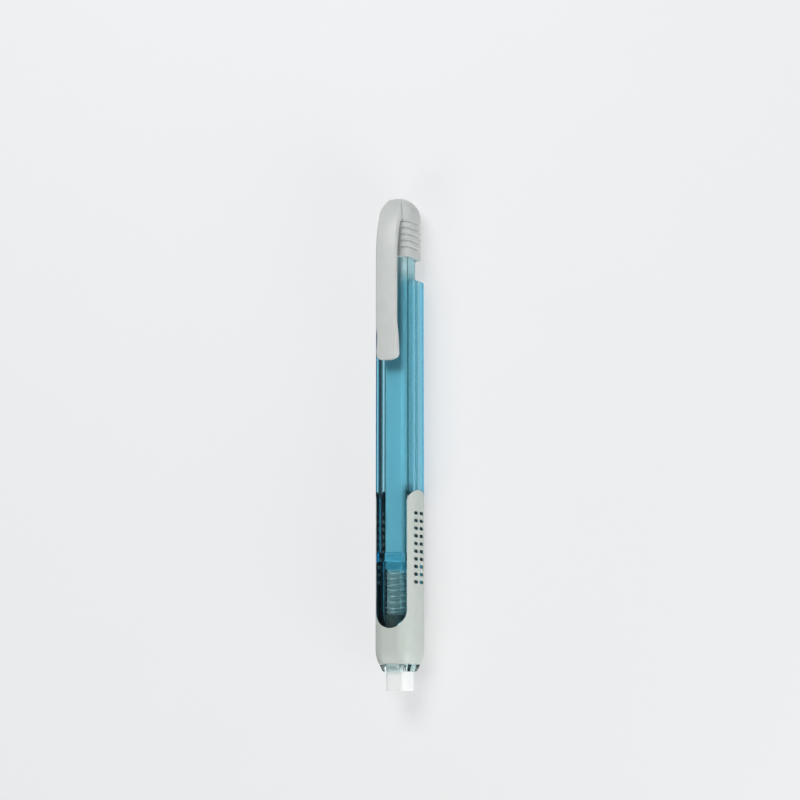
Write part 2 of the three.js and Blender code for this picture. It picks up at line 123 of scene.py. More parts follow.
def linear(byte):
    """One channel of a colour as a screen shows it, from 0 to 255, as an amount of light."""
    share = byte / 255
    return share / 12.92 if share <= 0.04045 else ((share + 0.055) / 1.055) ** 2.4


def colour(name, description, *screen):
    return FloatVectorProperty(
        name=name,
        description=description,
        default=[linear(byte) for byte in screen],
        min=0.0,
        max=1.0,
        subtype="COLOR",
    )


class EraserPenSizes(PropertyGroup):
    """Sizes of the pen that its frame doesn't give"""

    eraser_corner: length("Eraser Corner", "Radius of the stick's long edges", 1.2)
    eraser_edge: length("Eraser Edge", "Roundness at the stick's ends", 0.3)
    stick_clearance: length("Stick Clearance", "Room round the stick in its tube", 0.15)
    tube_corner: length("Tube Corner", "Radius of the inner tube's long edges", 2.0)
    thin_edge: length("Thin Edge", "Roundness at the ends of thin clear walls", 0.12)
    tube_clearance: length("Tube Clearance", "Room round the tube in the barrel's guide ring", 0.2)
    barrel_corner: length("Barrel Corner", "Radius of the barrel's long edges", 4.2)
    barrel_wall: length("Barrel Wall", "Thickness of the barrel behind the spring", 1.25)
    bore_corner: length("Bore Corner", "Radius of the barrel's long edges inside", 3.3)
    barrel_rim: length("Barrel Rim", "Roundness of the barrel's rear rim", 0.4)
    chamber_radius: length("Chamber Radius", "Radius of the round chamber that holds the spring", 4.93)
    guide_length: length("Guide Length", "Length of the ring that guides the tube", 2.5)
    guide_corner: length("Guide Corner", "Radius of that ring's long edges inside", 0.4)
    grip_wall: length("Grip Wall", "Thickness of the grip sleeve", 0.6)
    grip_fit: length("Grip Fit", "Gap between the grip sleeve and the barrel", 0.12)
    grip_edge: length("Grip Edge", "Roundness of the grip sleeve's cut edges", 0.14)
    nose_round: length("Nose Round", "Length of the nose's rounded end", 4.0)
    nose_draw: length("Nose Draw", "How far the rounded end draws in", 0.96)
    nose_floor: length("Nose Floor", "Thickness of the nose", 5.2)
    mouth_clearance: length("Mouth Clearance", "Room round the clutch in the nose", 0.2)
    throat_step: length("Throat Step", "How far the nose narrows behind its mouth", 0.05)
    spigot_length: length("Spigot Length", "Length of the ring inside that seats the spring", 8.5)
    window_start: length("Window Start", "Bottom of the windows, from the end of the nose", 9.97)
    arch_rise: length("Arch Rise", "Height of the arms' round tops", 3.6)
    slot_start: length("Slot Start", "First row of slots, from the end of the nose", 22.97)
    slot_pitch: length("Slot Pitch", "From one row of slots to the next", 2.167)
    slot_length: length("Slot Length", "Length of a slot", 2.3)
    slot_height: length("Slot Height", "Height of a slot", 0.95)
    slot_spread: length("Slot Spread", "From one column of slots to the other", 3.14)
    slot_rows: IntProperty(name="Slot Rows", description="Rows of slots in each arm", default=10, min=1)
    jaw_width: length("Jaw Width", "Width of a jaw's neck", 3.7)
    jaw_radius: length("Jaw Radius", "Outside of a jaw's neck from the middle of the pen", 3.9)
    jaw_head: length("Jaw Head", "Length of a jaw's head with its lip", 2.7)
    jaw_head_half: length("Jaw Head Half", "Half the side of the square that the heads make", 4.15)
    jaw_head_corner: length("Jaw Head Corner", "Radius of the long edges of that square", 2.2)
    jaw_taper: length("Jaw Taper", "From a jaw's head down to its neck", 1.5)
    jaw_slit: length("Jaw Slit", "Gap between two jaws", 0.5)
    lip_gap: length("Lip Gap", "Gap between the nose and the lip that the jaws make", 0.15)
    lip_inset: length("Lip Inset", "From the edge of the nose in to the lip", 0.12)
    lip_draw: length("Lip Draw", "How far the lip draws in to its tip", 1.0)
    wire: length("Spring Wire", "Thickness of the spring's wire", 0.45)
    coil_radius: length("Coil Radius", "Radius of the spring's coil", 4.45)
    closed_gap: length("Closed Gap", "Gap between the spring's closed turns", 0.45)
    front_turns: FloatProperty(name="Front Turns", description="Closed turns by the nose", default=1.0)
    open_turns: FloatProperty(name="Open Turns", description="Open turns of the spring", default=6.0)
    rear_turns: FloatProperty(name="Rear Turns", description="Closed turns by the collar", default=1.0)
    button_corner: length("Button Corner", "Radius of the button's long edges", 3.2)
    button_edge: length("Button Edge", "Roundness of the button's open end", 0.3)
    button_crown: length("Button Crown", "Solid above the tube", 3.7)
    socket_fit: length("Socket Fit", "Gap between the tube and the button", 0.12)
    dome_height: length("Dome Height", "Height of the button's dome", 6.0)
    rib_start: length("Rib Start", "First groove, from the button's open end", 2.84)
    rib_pitch: length("Rib Pitch", "From one groove to the next", 1.87)
    groove_width: length("Groove Width", "Width of a groove between two ribs", 0.9)
    groove_depth: length("Groove Depth", "Depth of a groove between two ribs", 0.5)
    grooves: IntProperty(name="Grooves", description="Grooves round the button", default=5, min=1)
    clip_thickness: length("Clip Thickness", "Thickness of the clip's arm", 1.5)
    clip_root_width: length("Clip Root Width", "Width of the clip at the button", 7.0)
    clip_waist_width: length("Clip Waist Width", "Width of the clip's arm", 6.8)
    clip_end_width: length("Clip End Width", "Width of the clip's free end", 7.3)
    clip_end_corner: length("Clip End Corner", "Radius of the free end's corners", 2.4)
    clip_foot: length("Clip Foot", "Height of the foot's upright face", 4.2)
    clip_lip_inset: length("Clip Lip Inset", "From the foot's upright face in to the lip", 1.5)
    clip_shoulder: length("Clip Shoulder", "End of the round shoulder, from the button's top", 18.4)
    clip_bend: length("Clip Bend", "Where the shoulder turns, from the button's top", 6.9)
    clip_root_gap: length("Clip Root Gap", "Gap between the clip's root and the button", 0.4)
    clip_neck: length("Clip Neck", "From the root's width down to the arm's", 9.0)
    clip_flare: length("Clip Flare", "From the arm's width out to the free end's", 9.8)
    clip_dip: length("Clip Dip", "How far the free end drops towards the barrel", 0.8)
    clip_dip_start: length("Clip Dip Start", "Where the drop starts, from the free end", 11.6)
    clip_dip_end: length("Clip Dip End", "Where the drop ends, from the free end", 6.0)
    clip_nib_height: length("Clip Nib Height", "Height of the nib under the free end", 0.35)
    clip_nib_length: length("Clip Nib Length", "Length of the nib under the free end", 3.2)
    clip_nib_width: length("Clip Nib Width", "Width of the nib under the free end", 4.6)
    clip_nib_inset: length("Clip Nib Inset", "From the free end to the nib", 2.0)
    clip_edge: length("Clip Edge", "Roundness of the clip's outer edges", 0.95)
    clip_back_edge: length("Clip Back Edge", "Roundness of the clip's inner edges", 0.3)
    clip_crown: length("Clip Crown", "How far the clip's face is crowned", 0.14)
    seat_gap: length("Seat Gap", "Gap round the clip's foot in its seat", 0.04)


class EraserPenColours(PropertyGroup):
    """Colours of the pen's plastics, wire and eraser"""

    barrel: colour("Barrel", "What the barrel's clear plastic lets through", 34, 230, 251)
    tube: colour("Tube", "What the tube's clear plastic lets through", 77, 190, 202)
    # painted shade: this tint darkens the barrel's skin in front of the collar, over the spring
    painted_spring_shade: colour("Painted Spring Shade", "What the barrel's skin lets through over the spring", 250, 228, 219)
    clutch: colour("Clutch", "What the jaws' clear plastic lets through", 140, 205, 208)
    grip: colour("Grip", "The grip sleeve", 196, 204, 198)
    button: colour("Button", "The button and the clip", 202, 206, 204)
    steel: colour("Steel", "The spring", 228, 231, 233)
    eraser: colour("Eraser", "The stick", 244, 247, 246)
    floor: colour("Floor", "What the pen lies on", 240, 241, 242)
    barrel_depth: absorption("Barrel Depth", "Absorption of the barrel, per metre", 345.0)
    tube_depth: absorption("Tube Depth", "Absorption of the tube, per metre", 820.0)
    clutch_depth: absorption("Clutch Depth", "Absorption of the jaws, per metre", 230.0)
    barrel_lamps: portion("Barrel Lamps", "Lamp light that a surface of the barrel lets in", 0.695)
    tube_lamps: portion("Tube Lamps", "Lamp light that a surface of the tube lets in", 1.0)
    clutch_lamps: portion("Clutch Lamps", "Lamp light that a surface of the jaws lets in", 0.72)
    grip_roughness: portion("Grip Roughness", "How dull the grip sleeve is", 0.46)
    button_roughness: portion("Button Roughness", "How dull the button and the clip are", 0.4)


class EraserPenStage(PropertyGroup):
    """Camera and lamps"""

    roll: FloatProperty(
        name="Roll",
        description="Angle from the clip's face round to the camera",
        default=radians(29),
        subtype="ANGLE",
    )
    distance: length("Distance", "From the camera straight down to the pen's middle line", 585.0)
    lens: FloatProperty(name="Lens", description="Focal length in millimetres", default=92.3)
    foot: station("Foot", "Place along the pen that the camera stands over", -67.93)
    aim: station("Aim", "Place along the pen that the camera looks at", 11.93)
    key: power("Key", "Strength of the low lamp on the right", 1.85)
    fill: power("Fill", "Strength of the lamp on the left", 1.05)
    top: power("Top", "Strength of the lamp over the button", 3.1)
    sky: FloatProperty(name="Sky", description="Strength of the light from all round", default=0.12)


def sizes():
    return bpy.context.scene.eraser_pen_sizes


def colours():
    return bpy.context.scene.eraser_pen_colours


# Node trees


class Value:
    """What a node's socket gives. Arithmetic on it adds Math nodes to the same tree."""

    def __init__(self, net, socket):
        self.net = net
        self.socket = socket

    def math(self, operation, *numbers):
        return self.net.node("ShaderNodeMath", {"operation": operation}, dict(enumerate(numbers)))

    def __add__(self, other):
        return self.math("ADD", self, other)

    def __radd__(self, other):
        return self.math("ADD", other, self)

    def __sub__(self, other):
        return self.math("SUBTRACT", self, other)

    def __rsub__(self, other):
        return self.math("SUBTRACT", other, self)

    def __mul__(self, other):
        return self.math("MULTIPLY", self, other)

    def __rmul__(self, other):
        return self.math("MULTIPLY", other, self)

    def __truediv__(self, other):
        return self.math("DIVIDE", self, other)

    def __rtruediv__(self, other):
        return self.math("DIVIDE", other, self)


class Net:
    """Adds nodes to one node tree."""

    def __init__(self, tree):
        self.tree = tree

    def node(self, kind, settings=None, sockets=None, output=0):
        """A new node: its settings are set first, then its sockets get their numbers or links."""
        made = self.tree.nodes.new(kind)
        for name, setting in (settings or {}).items():
            if name == "stops":
                self.set_stops(made.color_ramp, setting)
            else:
                setattr(made, name, setting)
        for name, given in (sockets or {}).items():
            if isinstance(given, Value):
                self.tree.links.new(given.socket, made.inputs[name])
            else:
                made.inputs[name].default_value = given
        return Value(self, made.outputs[output]) if made.outputs else None

    def set_stops(self, ramp, stops):
        while len(ramp.elements) < len(stops):
            ramp.elements.new(1.0)
        for element, (position, shade) in zip(ramp.elements, stops):
            element.position = position
            element.color = (*shade, 1.0)

    def noise(self, place, scale, detail=2.0):
        return self.node("ShaderNodeTexNoise", {}, {"Vector": place, "Scale": scale, "Detail": detail})

    def blend(self, share, first, second):
        """A colour between two colours, each given or from a node."""
        sockets = {0: share}
        for number, shade in ((6, first), (7, second)):
            sockets[number] = shade if isinstance(shade, Value) else (*shade, 1.0)
        return self.node("ShaderNodeMix", {"data_type": "RGBA"}, sockets, 2)

    def vary(self, share, shade, darkest, lightest):
        """A colour that runs from a darker to a lighter form of itself."""
        return self.blend(share, shaded(shade, darkest), shaded(shade, lightest))

    def between(self, share, low, high):
        """A number that runs from one to another."""
        return low + (high - low) * share

    def axis(self, place, letter):
        """How far along one axis a place lies."""
        return self.node("ShaderNodeSeparateXYZ", {}, {"Vector": place}, letter)

    def ray(self, kind):
        """One for one kind of ray, and nought for all others."""
        return self.node("ShaderNodeLightPath", {}, {}, f"Is {kind} Ray")

    def limit(self, value):
        """A value kept between nought and one."""
        return value.math("MINIMUM", value.math("MAXIMUM", value, 0.0), 1.0)

    def bump(self, height, distance):
        sockets = {"Height": height, "Distance": distance, "Strength": 1.0}
        return self.node("ShaderNodeBump", {}, sockets)


# Finishes: how many of each mark lie in a metre, how high they stand and how far they are drawn out

CLEAR_IOR = 1.49
FLOW_LINES = 700.0
FLOW_HEIGHT = 0.004 * MM
FLOW_DRAWN = (1.0, 0.04, 1.0)
HANDLING_HAZE = 160.0
FILLER_MOTTLE = 420.0
SPARK_GRAIN = 7000.0
SPARK_HEIGHT = 0.006 * MM
DRAW_MARKS = 5200.0
DRAW_HEIGHT = 0.003 * MM
TARNISH = 600.0
VINYL_LINES = 2600.0
VINYL_HEIGHT = 0.008 * MM
VINYL_DRAWN = (1.0, 0.03, 1.0)
VINYL_BLOOM = 520.0
CARD_MOTTLE = 30.0
GRIP_PAINTED_SHADE = 0.16  # painted shade: how dark the grip is painted under its skin, where little light reaches

# The floor, as the camera sees it and as the pen shows it

EVEN_FLOOR = 0.65  # share of its look that is even, and not from the lamps
SHADED_FLOOR = 0.07  # how bright the pen shows it where shade is painted on it
MIRROR_REACH = 5.8 * MM  # from under the pen's middle out to where the mirrored floor darkens
MIRROR_FADE = 0.5 * MM
CLEAR_REACH = 16 * MM  # from there out to where the floor that shows through the pen darkens
CLEAR_FADE = 7 * MM
NOSE_REACH = 6 * MM  # from the nose's end back to where the painted shade under the grip starts
GRIP_FADE = 1 * MM


def new_finish(name):
    material = bpy.data.materials.new(name)
    material.use_nodes = True
    material.node_tree.nodes.clear()
    net = Net(material.node_tree)
    place = net.node("ShaderNodeTexCoord", {}, {}, "Object")
    return material, net, place


def end_finish(net, surface, volume=None):
    sockets = {"Surface": surface}
    if volume:
        sockets["Volume"] = volume
    net.node("ShaderNodeOutputMaterial", {}, sockets)


def shaded(shade, share):
    """A colour made lighter or darker."""
    return [min(channel * share, 1.0) for channel in shade]


def clear_plastic(name, let_through, depth, lamp_share, painted_spring_shade=None):
    """Polished clear plastic, tinted all through, with faint flow lines and a little handling haze.

    The lamp share is what each of its surfaces lets through to what lies inside. The painted spring
    shade is a colour
    and a place along the pen: the skin takes that colour in front of it, which paints shade there.
    """
    material, net, place = new_finish(name)
    painted_skin_shade = (1.0, 1.0, 1.0, 1.0)
    # painted shade on the skin in front of the given place
    if painted_spring_shade:
        shade, start = painted_spring_shade
        ahead = (start - net.axis(place, "Y")) / MM
        painted_skin_shade = net.blend(net.limit(ahead), (1.0, 1.0, 1.0), shade)
    drawn = net.node("ShaderNodeMapping", {}, {"Vector": place, "Scale": FLOW_DRAWN})
    flow = net.noise(drawn, FLOW_LINES)
    haze = net.noise(place, HANDLING_HAZE, detail=4.0)
    sockets = {
        "Base Color": painted_skin_shade,
        "Roughness": net.between(haze, low=0.02, high=0.07),
        "IOR": CLEAR_IOR,
        "Transmission Weight": 1.0,
        "Normal": net.bump(flow, FLOW_HEIGHT),
    }
    glass = net.node("ShaderNodeBsdfPrincipled", {}, sockets)
    open_to_lamps = net.node("ShaderNodeBsdfTransparent", {}, {"Color": (*[lamp_share] * 3, 1.0)})
    sockets = {0: net.ray("Shadow"), 1: glass, 2: open_to_lamps}
    surface = net.node("ShaderNodeMixShader", {}, sockets)
    sockets = {"Color": (*let_through, 1.0), "Density": depth}
    end_finish(net, surface, net.node("ShaderNodeVolumeAbsorption", {}, sockets))
    return material


def satin_plastic(name, shade, roughness):
    """Moulded plastic with a fine spark-etched skin, faintly mottled by its filler, and painted dark
    inside as shade.
    """
    material, net, place = new_finish(name)
    mottle = net.noise(place, FILLER_MOTTLE, detail=3.0)
    grain = net.noise(place, SPARK_GRAIN)
    inside = net.node("ShaderNodeAttribute", {"attribute_name": PAINTED_SHADE_MAP}, {}, "Fac")
    outer = net.vary(mottle, shade, darkest=0.95, lightest=1.05)
    patchy = net.between(mottle, low=-0.06, high=0.06)
    gritty = net.between(grain, low=-0.05, high=0.05)
    sockets = {
        # painted shade: the grip is darker the deeper a point lies under its skin
        "Base Color": net.blend(inside, outer, shaded(shade, GRIP_PAINTED_SHADE)),
        "Roughness": roughness + patchy + gritty,
        "Normal": net.bump(grain, SPARK_HEIGHT),
    }
    end_finish(net, net.node("ShaderNodeBsdfPrincipled", {}, sockets))
    return material


def drawn_steel(name, shade):
    """Drawn spring wire: bright, with fine draw marks and a trace of tarnish."""
    material, net, place = new_finish(name)
    marks = net.noise(place, DRAW_MARKS, detail=3.0)
    tarnish = net.noise(place, TARNISH)
    sockets = {
        "Base Color": net.vary(tarnish, shade, darkest=0.86, lightest=1.06),
        "Metallic": 1.0,
        "Roughness": net.between(marks, low=0.32, high=0.48),
        "Normal": net.bump(marks, DRAW_HEIGHT),
    }
    end_finish(net, net.node("ShaderNodeBsdfPrincipled", {}, sockets))
    return material


def white_vinyl(name, shade):
    """Smooth soft vinyl with a dusty bloom and faint extrusion lines along the stick."""
    material, net, place = new_finish(name)
    drawn = net.node("ShaderNodeMapping", {}, {"Vector": place, "Scale": VINYL_DRAWN})
    lines = net.noise(drawn, VINYL_LINES)
    bloom = net.noise(place, VINYL_BLOOM, detail=4.0)
    sockets = {
        "Base Color": net.vary(bloom, shade, darkest=0.965, lightest=1.01),
        "Roughness": net.between(bloom, low=0.5, high=0.72),
        "Normal": net.bump(lines * 0.6 + bloom * 0.4, VINYL_HEIGHT),
    }
    end_finish(net, net.node("ShaderNodeBsdfPrincipled", {}, sockets))
    return material


def pale_floor(name, shade):
    """Smooth pale card, evenly bright to the camera, that keeps the pen's shadow.

    The pen shows it too, in its gloss and through its clear plastic: bright close by, and with painted
    shade further out and under the grip.
    """
    material, net, place = new_finish(name)
    mottle = net.noise(place, CARD_MOTTLE, detail=3.0)
    sockets = {
        "Base Color": net.vary(mottle, shade, darkest=0.985, lightest=1.01),
        "Roughness": 0.75,
        "Specular IOR Level": 0.25,
    }
    card = net.node("ShaderNodeBsdfPrincipled", {}, sockets)
    glow = net.node("ShaderNodeEmission", {}, {"Color": (*shade, 1.0), "Strength": 1.0})
    painted_floor_shade = net.node("ShaderNodeEmission", {}, {"Color": (*shade, 1.0), "Strength": SHADED_FLOOR})
    through = net.ray("Transmission")
    mirrored = net.limit(net.ray("Glossy") - through)
    seen = net.ray("Camera") + mirrored + through
    lit = net.node("ShaderNodeMixShader", {}, {0: seen * EVEN_FLOOR, 1: card, 2: glow})
    across = net.axis(place, "X")
    y = net.axis(place, "Y")
    out = across.math("ABSOLUTE", across)
    aside = net.limit((out - MIRROR_REACH) / MIRROR_FADE)
    far = net.limit((out - CLEAR_REACH) / CLEAR_FADE)
    before_rear = net.limit((along("grip_sleeve")[1] - y) / GRIP_FADE)
    behind_nose = net.limit((y - (NOSE + NOSE_REACH)) / GRIP_FADE)
    # painted shade: the floor that the pen mirrors darkens out beside it, and the floor seen through it
    # darkens further out and under the grip
    dark = mirrored * aside + through * far.math("MAXIMUM", far, before_rear * behind_nose)
    end_finish(net, net.node("ShaderNodeMixShader", {}, {0: dark, 1: lit, 2: painted_floor_shade}))
    return material


def finish(slot):
    """A slot's own finish, made once and shared. The frame's plain materials have the slots' names."""
    name = f"{slot}_finish"
    kept = bpy.data.materials.get(name)
    if kept:
        return kept
    shades = colours()
    # painted shade on the barrel, in front of the collar
    painted_spring_shade = (shades.painted_spring_shade, along("chuck_collar")[0])
    clear_blue = (shades.barrel, shades.barrel_depth, shades.barrel_lamps, painted_spring_shade)
    makers = {
        "clear_blue": (clear_plastic, *clear_blue),
        "clear_teal": (clear_plastic, shades.tube, shades.tube_depth, shades.tube_lamps),
        "smoky_teal": (clear_plastic, shades.clutch, shades.clutch_depth, shades.clutch_lamps),
        "grip_grey": (satin_plastic, shades.grip, shades.grip_roughness),
        "button_grey": (satin_plastic, shades.button, shades.button_roughness),
        "spring_steel": (drawn_steel, shades.steel),
        "eraser_white": (white_vinyl, shades.eraser),
        "pale_floor": (pale_floor, shades.floor),
    }
    maker, *given = makers[slot]
    return maker(name, *given)


# Meshes


def object_of(name, build):
    mesh = bpy.data.meshes.new(name)
    build.to_mesh(mesh)
    build.free()
    made = bpy.data.objects.new(name, mesh)
    bpy.context.scene.collection.objects.link(made)
    return made


def skin(name, rings, loop=False):
    """An object that joins rings of equally many points, capped at both ends or closed on itself."""
    build = bmesh.new()
    rows = [[build.verts.new(point) for point in ring] for ring in rings]
    pairs = list(zip(rows, rows[1:]))
    if loop:
        pairs.append((rows[-1], rows[0]))
    else:
        build.faces.new(rows[0])
        build.faces.new(rows[-1])
    for first, second in pairs:
        for i in range(len(first)):
            build.faces.new((first[i - 1], first[i], second[i], second[i - 1]))
    bmesh.ops.remove_doubles(build, verts=build.verts, dist=WELD)
    bmesh.ops.recalc_face_normals(build, faces=build.faces)
    return object_of(name, build)


def square_ring(y, half, corner):
    """A rounded square across the pen. With the corner as large as the half side it is a circle."""
    points = []
    reach = (half - corner) * sqrt(2)
    for quarter in range(4):
        turn = quarter * pi / 2
        for step in range(ARC_STEPS + 1):
            angle = turn + step / ARC_STEPS * pi / 2
            x = reach * cos(turn + pi / 4) + corner * cos(angle)
            z = reach * sin(turn + pi / 4) + corner * sin(angle)
            points.append(Vector((x, y, PEN_AXIS + z)))
    return points


def eased(profile, loop):
    """Rounds the corners of a profile of (place along the pen, half side, corner, roundness)."""
    points = [Vector(entry[:3]) for entry in profile]
    result = []
    for i, point in enumerate(points):
        roundness = profile[i][3]
        at_end = not loop and i in (0, len(points) - 1)
        if at_end or roundness == 0:
            result.append(point)
            continue
        legs = [points[i - 1] - point, points[(i + 1) % len(points)] - point]
        cuts = [min(roundness / max(leg.xy.length, WELD), EASE_LIMIT) for leg in legs]
        start, end = [point + leg * cut for leg, cut in zip(legs, cuts)]
        for step in range(EASE_STEPS + 1):
            t = step / EASE_STEPS
            result.append(start * (1 - t) ** 2 + point * 2 * t * (1 - t) + end * t**2)
    return result


def loft(name, profile, loop=False):
    """A body of rounded squares along the pen. A loop goes out along one wall and back inside it."""
    return skin(name, [square_ring(*point) for point in eased(profile, loop)], loop)


def cut_from_above(name, outline):
    """A cutting shape that runs right through the pen, drawn from above as (sideways, along) points."""
    reach = 3 * half_width("barrel")
    return skin(name, [[(x, y, PEN_AXIS + z) for x, y in outline] for z in (-reach, reach)])


def cut_from_side(name, outline, half):
    """A cutting shape of a given half width, drawn from the side as (height over the axis, along)."""
    return skin(name, [[(x, y, PEN_AXIS + z) for z, y in outline] for x in (-half, half)])


def settle(piece):
    """Turns what a piece's modifiers make into its plain mesh."""
    graph = bpy.context.evaluated_depsgraph_get()
    shape = piece.evaluated_get(graph)
    mesh = bpy.data.meshes.new_from_object(shape, preserve_all_data_layers=True, depsgraph=graph)
    piece.modifiers.clear()
    before = piece.data
    piece.data = mesh
    bpy.data.meshes.remove(before)
    mesh.name = piece.name


def tidy(piece):
    """Merges the points that a cut leaves on top of each other."""
    build = bmesh.new()
    build.from_mesh(piece.data)
    bmesh.ops.remove_doubles(build, verts=build.verts, dist=WELD)
    bmesh.ops.dissolve_degenerate(build, edges=build.edges, dist=WELD)
    build.to_mesh(piece.data)
    build.free()


def combine(piece, other, operation):
    """Cuts another object from a piece or joins it on, and clears the other one away."""
    change = piece.modifiers.new("Combine", "BOOLEAN")
    change.operation = operation
    change.solver = "EXACT"
    change.object = other
    settle(piece)
    tidy(piece)
    bpy.data.objects.remove(other)


def carve(piece, cutter):
    combine(piece, cutter, "DIFFERENCE")


def soften(piece, width):
    """Rounds a piece's crisp edges."""
    bevel = piece.modifiers.new("Edges", "BEVEL")
    bevel.width = width
    bevel.segments = 2
    bevel.limit_method = "ANGLE"
    bevel.angle_limit = CREASE
    bevel.use_clamp_overlap = False
    settle(piece)


def dress(piece, slot, body, *nodes, look=None):
    """Gives a piece its finish, and puts it in the place of the frame's own nodes."""
    piece.data.materials.clear()
    piece.data.materials.append(finish(look or slot))
    piece.data.shade_smooth()
    piece.data.set_sharp_from_angle(angle=CREASE)
    even = piece.modifiers.new("Even Shading", "WEIGHTED_NORMAL")
    even.keep_sharp = True
    settle(piece)
    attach(piece, body)
    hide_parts(*nodes)


def along(node):
    """Where a node starts and ends along the pen."""
    low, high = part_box(node)
    return low.y, high.y


def half_width(node):
    low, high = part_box(node)
    return (high.x - low.x) / 2


def arc(middle_x, middle_y, radius_x, radius_y, start, end):
    """Points of an arc in an outline."""
    points = []
    for step in range(CURVE_STEPS + 1):
        angle = start + (end - start) * step / CURVE_STEPS
        points.append((middle_x + radius_x * cos(angle), middle_y + radius_y * sin(angle)))
    return points


# Geometry Nodes


def new_tree(name, inputs):
    """A tree with named inputs, and a value for each of them."""
    tree = bpy.data.node_groups.new(name, "GeometryNodeTree")
    for label, kind in inputs.items():
        tree.interface.new_socket(label, in_out="INPUT", socket_type="NodeSocket" + kind)
    tree.interface.new_socket("Geometry", in_out="OUTPUT", socket_type="NodeSocketGeometry")
    net = Net(tree)
    first = net.node("NodeGroupInput").socket.node
    return net, {label: Value(net, first.outputs[label]) for label in inputs}


def end_tree(net, geometry, material):
    real = net.node("GeometryNodeRealizeInstances", {}, {"Geometry": geometry})
    done = net.node("GeometryNodeSetMaterial", {}, {"Geometry": real, "Material": material})
    net.node("NodeGroupOutput", {}, {"Geometry": done})
    return net.tree


def run_tree(piece, tree, values):
    """Runs a tree on an object with its inputs set, and keeps the plain mesh."""
    modifier = piece.modifiers.new(tree.name, "NODES")
    modifier.node_group = tree
    for item in tree.interface.items_tree:
        if item.in_out == "INPUT" and item.name in values:
            modifier[item.identifier] = values[item.name]
    settle(piece)


def repeated_cuts_tree():
    """Repeats a cutting shape in rows and columns and cuts them all from a body."""
    inputs = {
        "Cutter": "Geometry",
        "Body": "Object",
        "Rows": "Int",
        "Row Step": "Vector",
        "Columns": "Int",
        "Column Step": "Vector",
        "Material": "Material",
    }
    net, given = new_tree("Repeated Cuts", inputs)
    cutters = given["Cutter"]
    for count, step in (("Rows", "Row Step"), ("Columns", "Column Step")):
        line = net.node("GeometryNodeMeshLine", {}, {"Count": given[count], "Offset": given[step]})
        cutters = net.node("GeometryNodeInstanceOnPoints", {}, {"Points": line, "Instance": cutters})
    cutters = net.node("GeometryNodeRealizeInstances", {}, {"Geometry": cutters})
    body = net.node("GeometryNodeObjectInfo", {}, {"Object": given["Body"]}, "Geometry")
    settings = {"operation": "DIFFERENCE", "solver": "EXACT"}
    cut = net.node("GeometryNodeMeshBoolean", settings, {"Mesh 1": body, "Mesh 2": cutters})
    return end_tree(net, cut, given["Material"])


def coil_tree():
    """Winds a wire into a coil along Y, with closed turns at both ends."""
    inputs = {
        "Front Turns": "Float",
        "Open Turns": "Float",
        "Rear Turns": "Float",
        "Radius": "Float",
        "Wire": "Float",
        "Closed Pitch": "Float",
        "Start": "Float",
        "End": "Float",
        "Height": "Float",
        "Steps": "Int",
        "Sides": "Int",
        "Material": "Material",
    }
    net, given = new_tree("Coil", inputs)
    closed_turns = given["Front Turns"] + given["Rear Turns"]
    turns = closed_turns + given["Open Turns"]
    line = net.node("GeometryNodeMeshLine", {}, {"Count": turns * given["Steps"] + 1.0})
    turn = net.node("GeometryNodeInputIndex") / given["Steps"]
    past_front = turn - given["Front Turns"]
    opened = past_front.math("MAXIMUM", past_front, 0.0)
    opened = opened.math("MINIMUM", opened, given["Open Turns"])
    room = given["End"] - given["Start"] - given["Wire"]
    open_pitch = (room - given["Closed Pitch"] * closed_turns) / given["Open Turns"]
    climb = given["Closed Pitch"] * (turn - opened) + open_pitch * opened
    angle = turn * (2 * pi)
    x = given["Radius"] * angle.math("COSINE", angle)
    y = given["Start"] + given["Wire"] / 2.0 + climb
    z = given["Height"] + given["Radius"] * angle.math("SINE", angle)
    place = net.node("ShaderNodeCombineXYZ", {}, {"X": x, "Y": y, "Z": z})
    points = net.node("GeometryNodeSetPosition", {}, {"Geometry": line, "Position": place})
    path = net.node("GeometryNodeMeshToCurve", {}, {"Mesh": points})
    section = {"Resolution": given["Sides"], "Radius": given["Wire"] / 2.0}
    wire = net.node("GeometryNodeCurvePrimitiveCircle", {}, section)
    sockets = {"Curve": path, "Profile Curve": wire, "Fill Caps": True}
    return end_tree(net, net.node("GeometryNodeCurveToMesh", {}, sockets), given["Material"])


def cut_repeatedly(name, body, cutter, rows, row_step, columns, column_step, slot):
    """Runs the tree of repeated cuts, and gives the cut body as a new object."""
    values = {
        "Body": body,
        "Rows": rows,
        "Row Step": row_step,
        "Columns": columns,
        "Column Step": column_step,
        "Material": finish(slot),
    }
    run_tree(cutter, repeated_cuts_tree(), values)
    tidy(cutter)
    bpy.data.objects.remove(body)
    cutter.name = name
    return cutter


# The pen's pieces


def corner_reach():
    """Sideways reach of the middle of the barrel's rounded corners, where the windows are cut."""
    return half_width("barrel") - sizes().barrel_corner * (1 - sqrt(0.5))


def window_outline(inset):
    """A U that is open towards the button, drawn in by an inset."""
    half = corner_reach() - inset
    bottom = NOSE + sizes().window_start + inset + half
    top = along("grip_sleeve")[1] + 4 * OVERCUT
    return [(half, top), (-half, top), *arc(0, bottom, half, half, pi, 2 * pi)]


def arch_outline(rise):
    """All that lies behind the arms' round tops, seen from the side, with the tops raised."""
    size = sizes()
    shoulder = along("grip_sleeve")[1] - size.arch_rise + rise
    half = corner_reach() + rise
    edge = half_width("barrel") + OVERCUT
    top = shoulder + size.arch_rise + 3 * OVERCUT
    tops = arc(0, shoulder, half, size.arch_rise, pi, 0)
    return [(edge, top), (-edge, top), (-edge, shoulder), *tops, (edge, shoulder)]


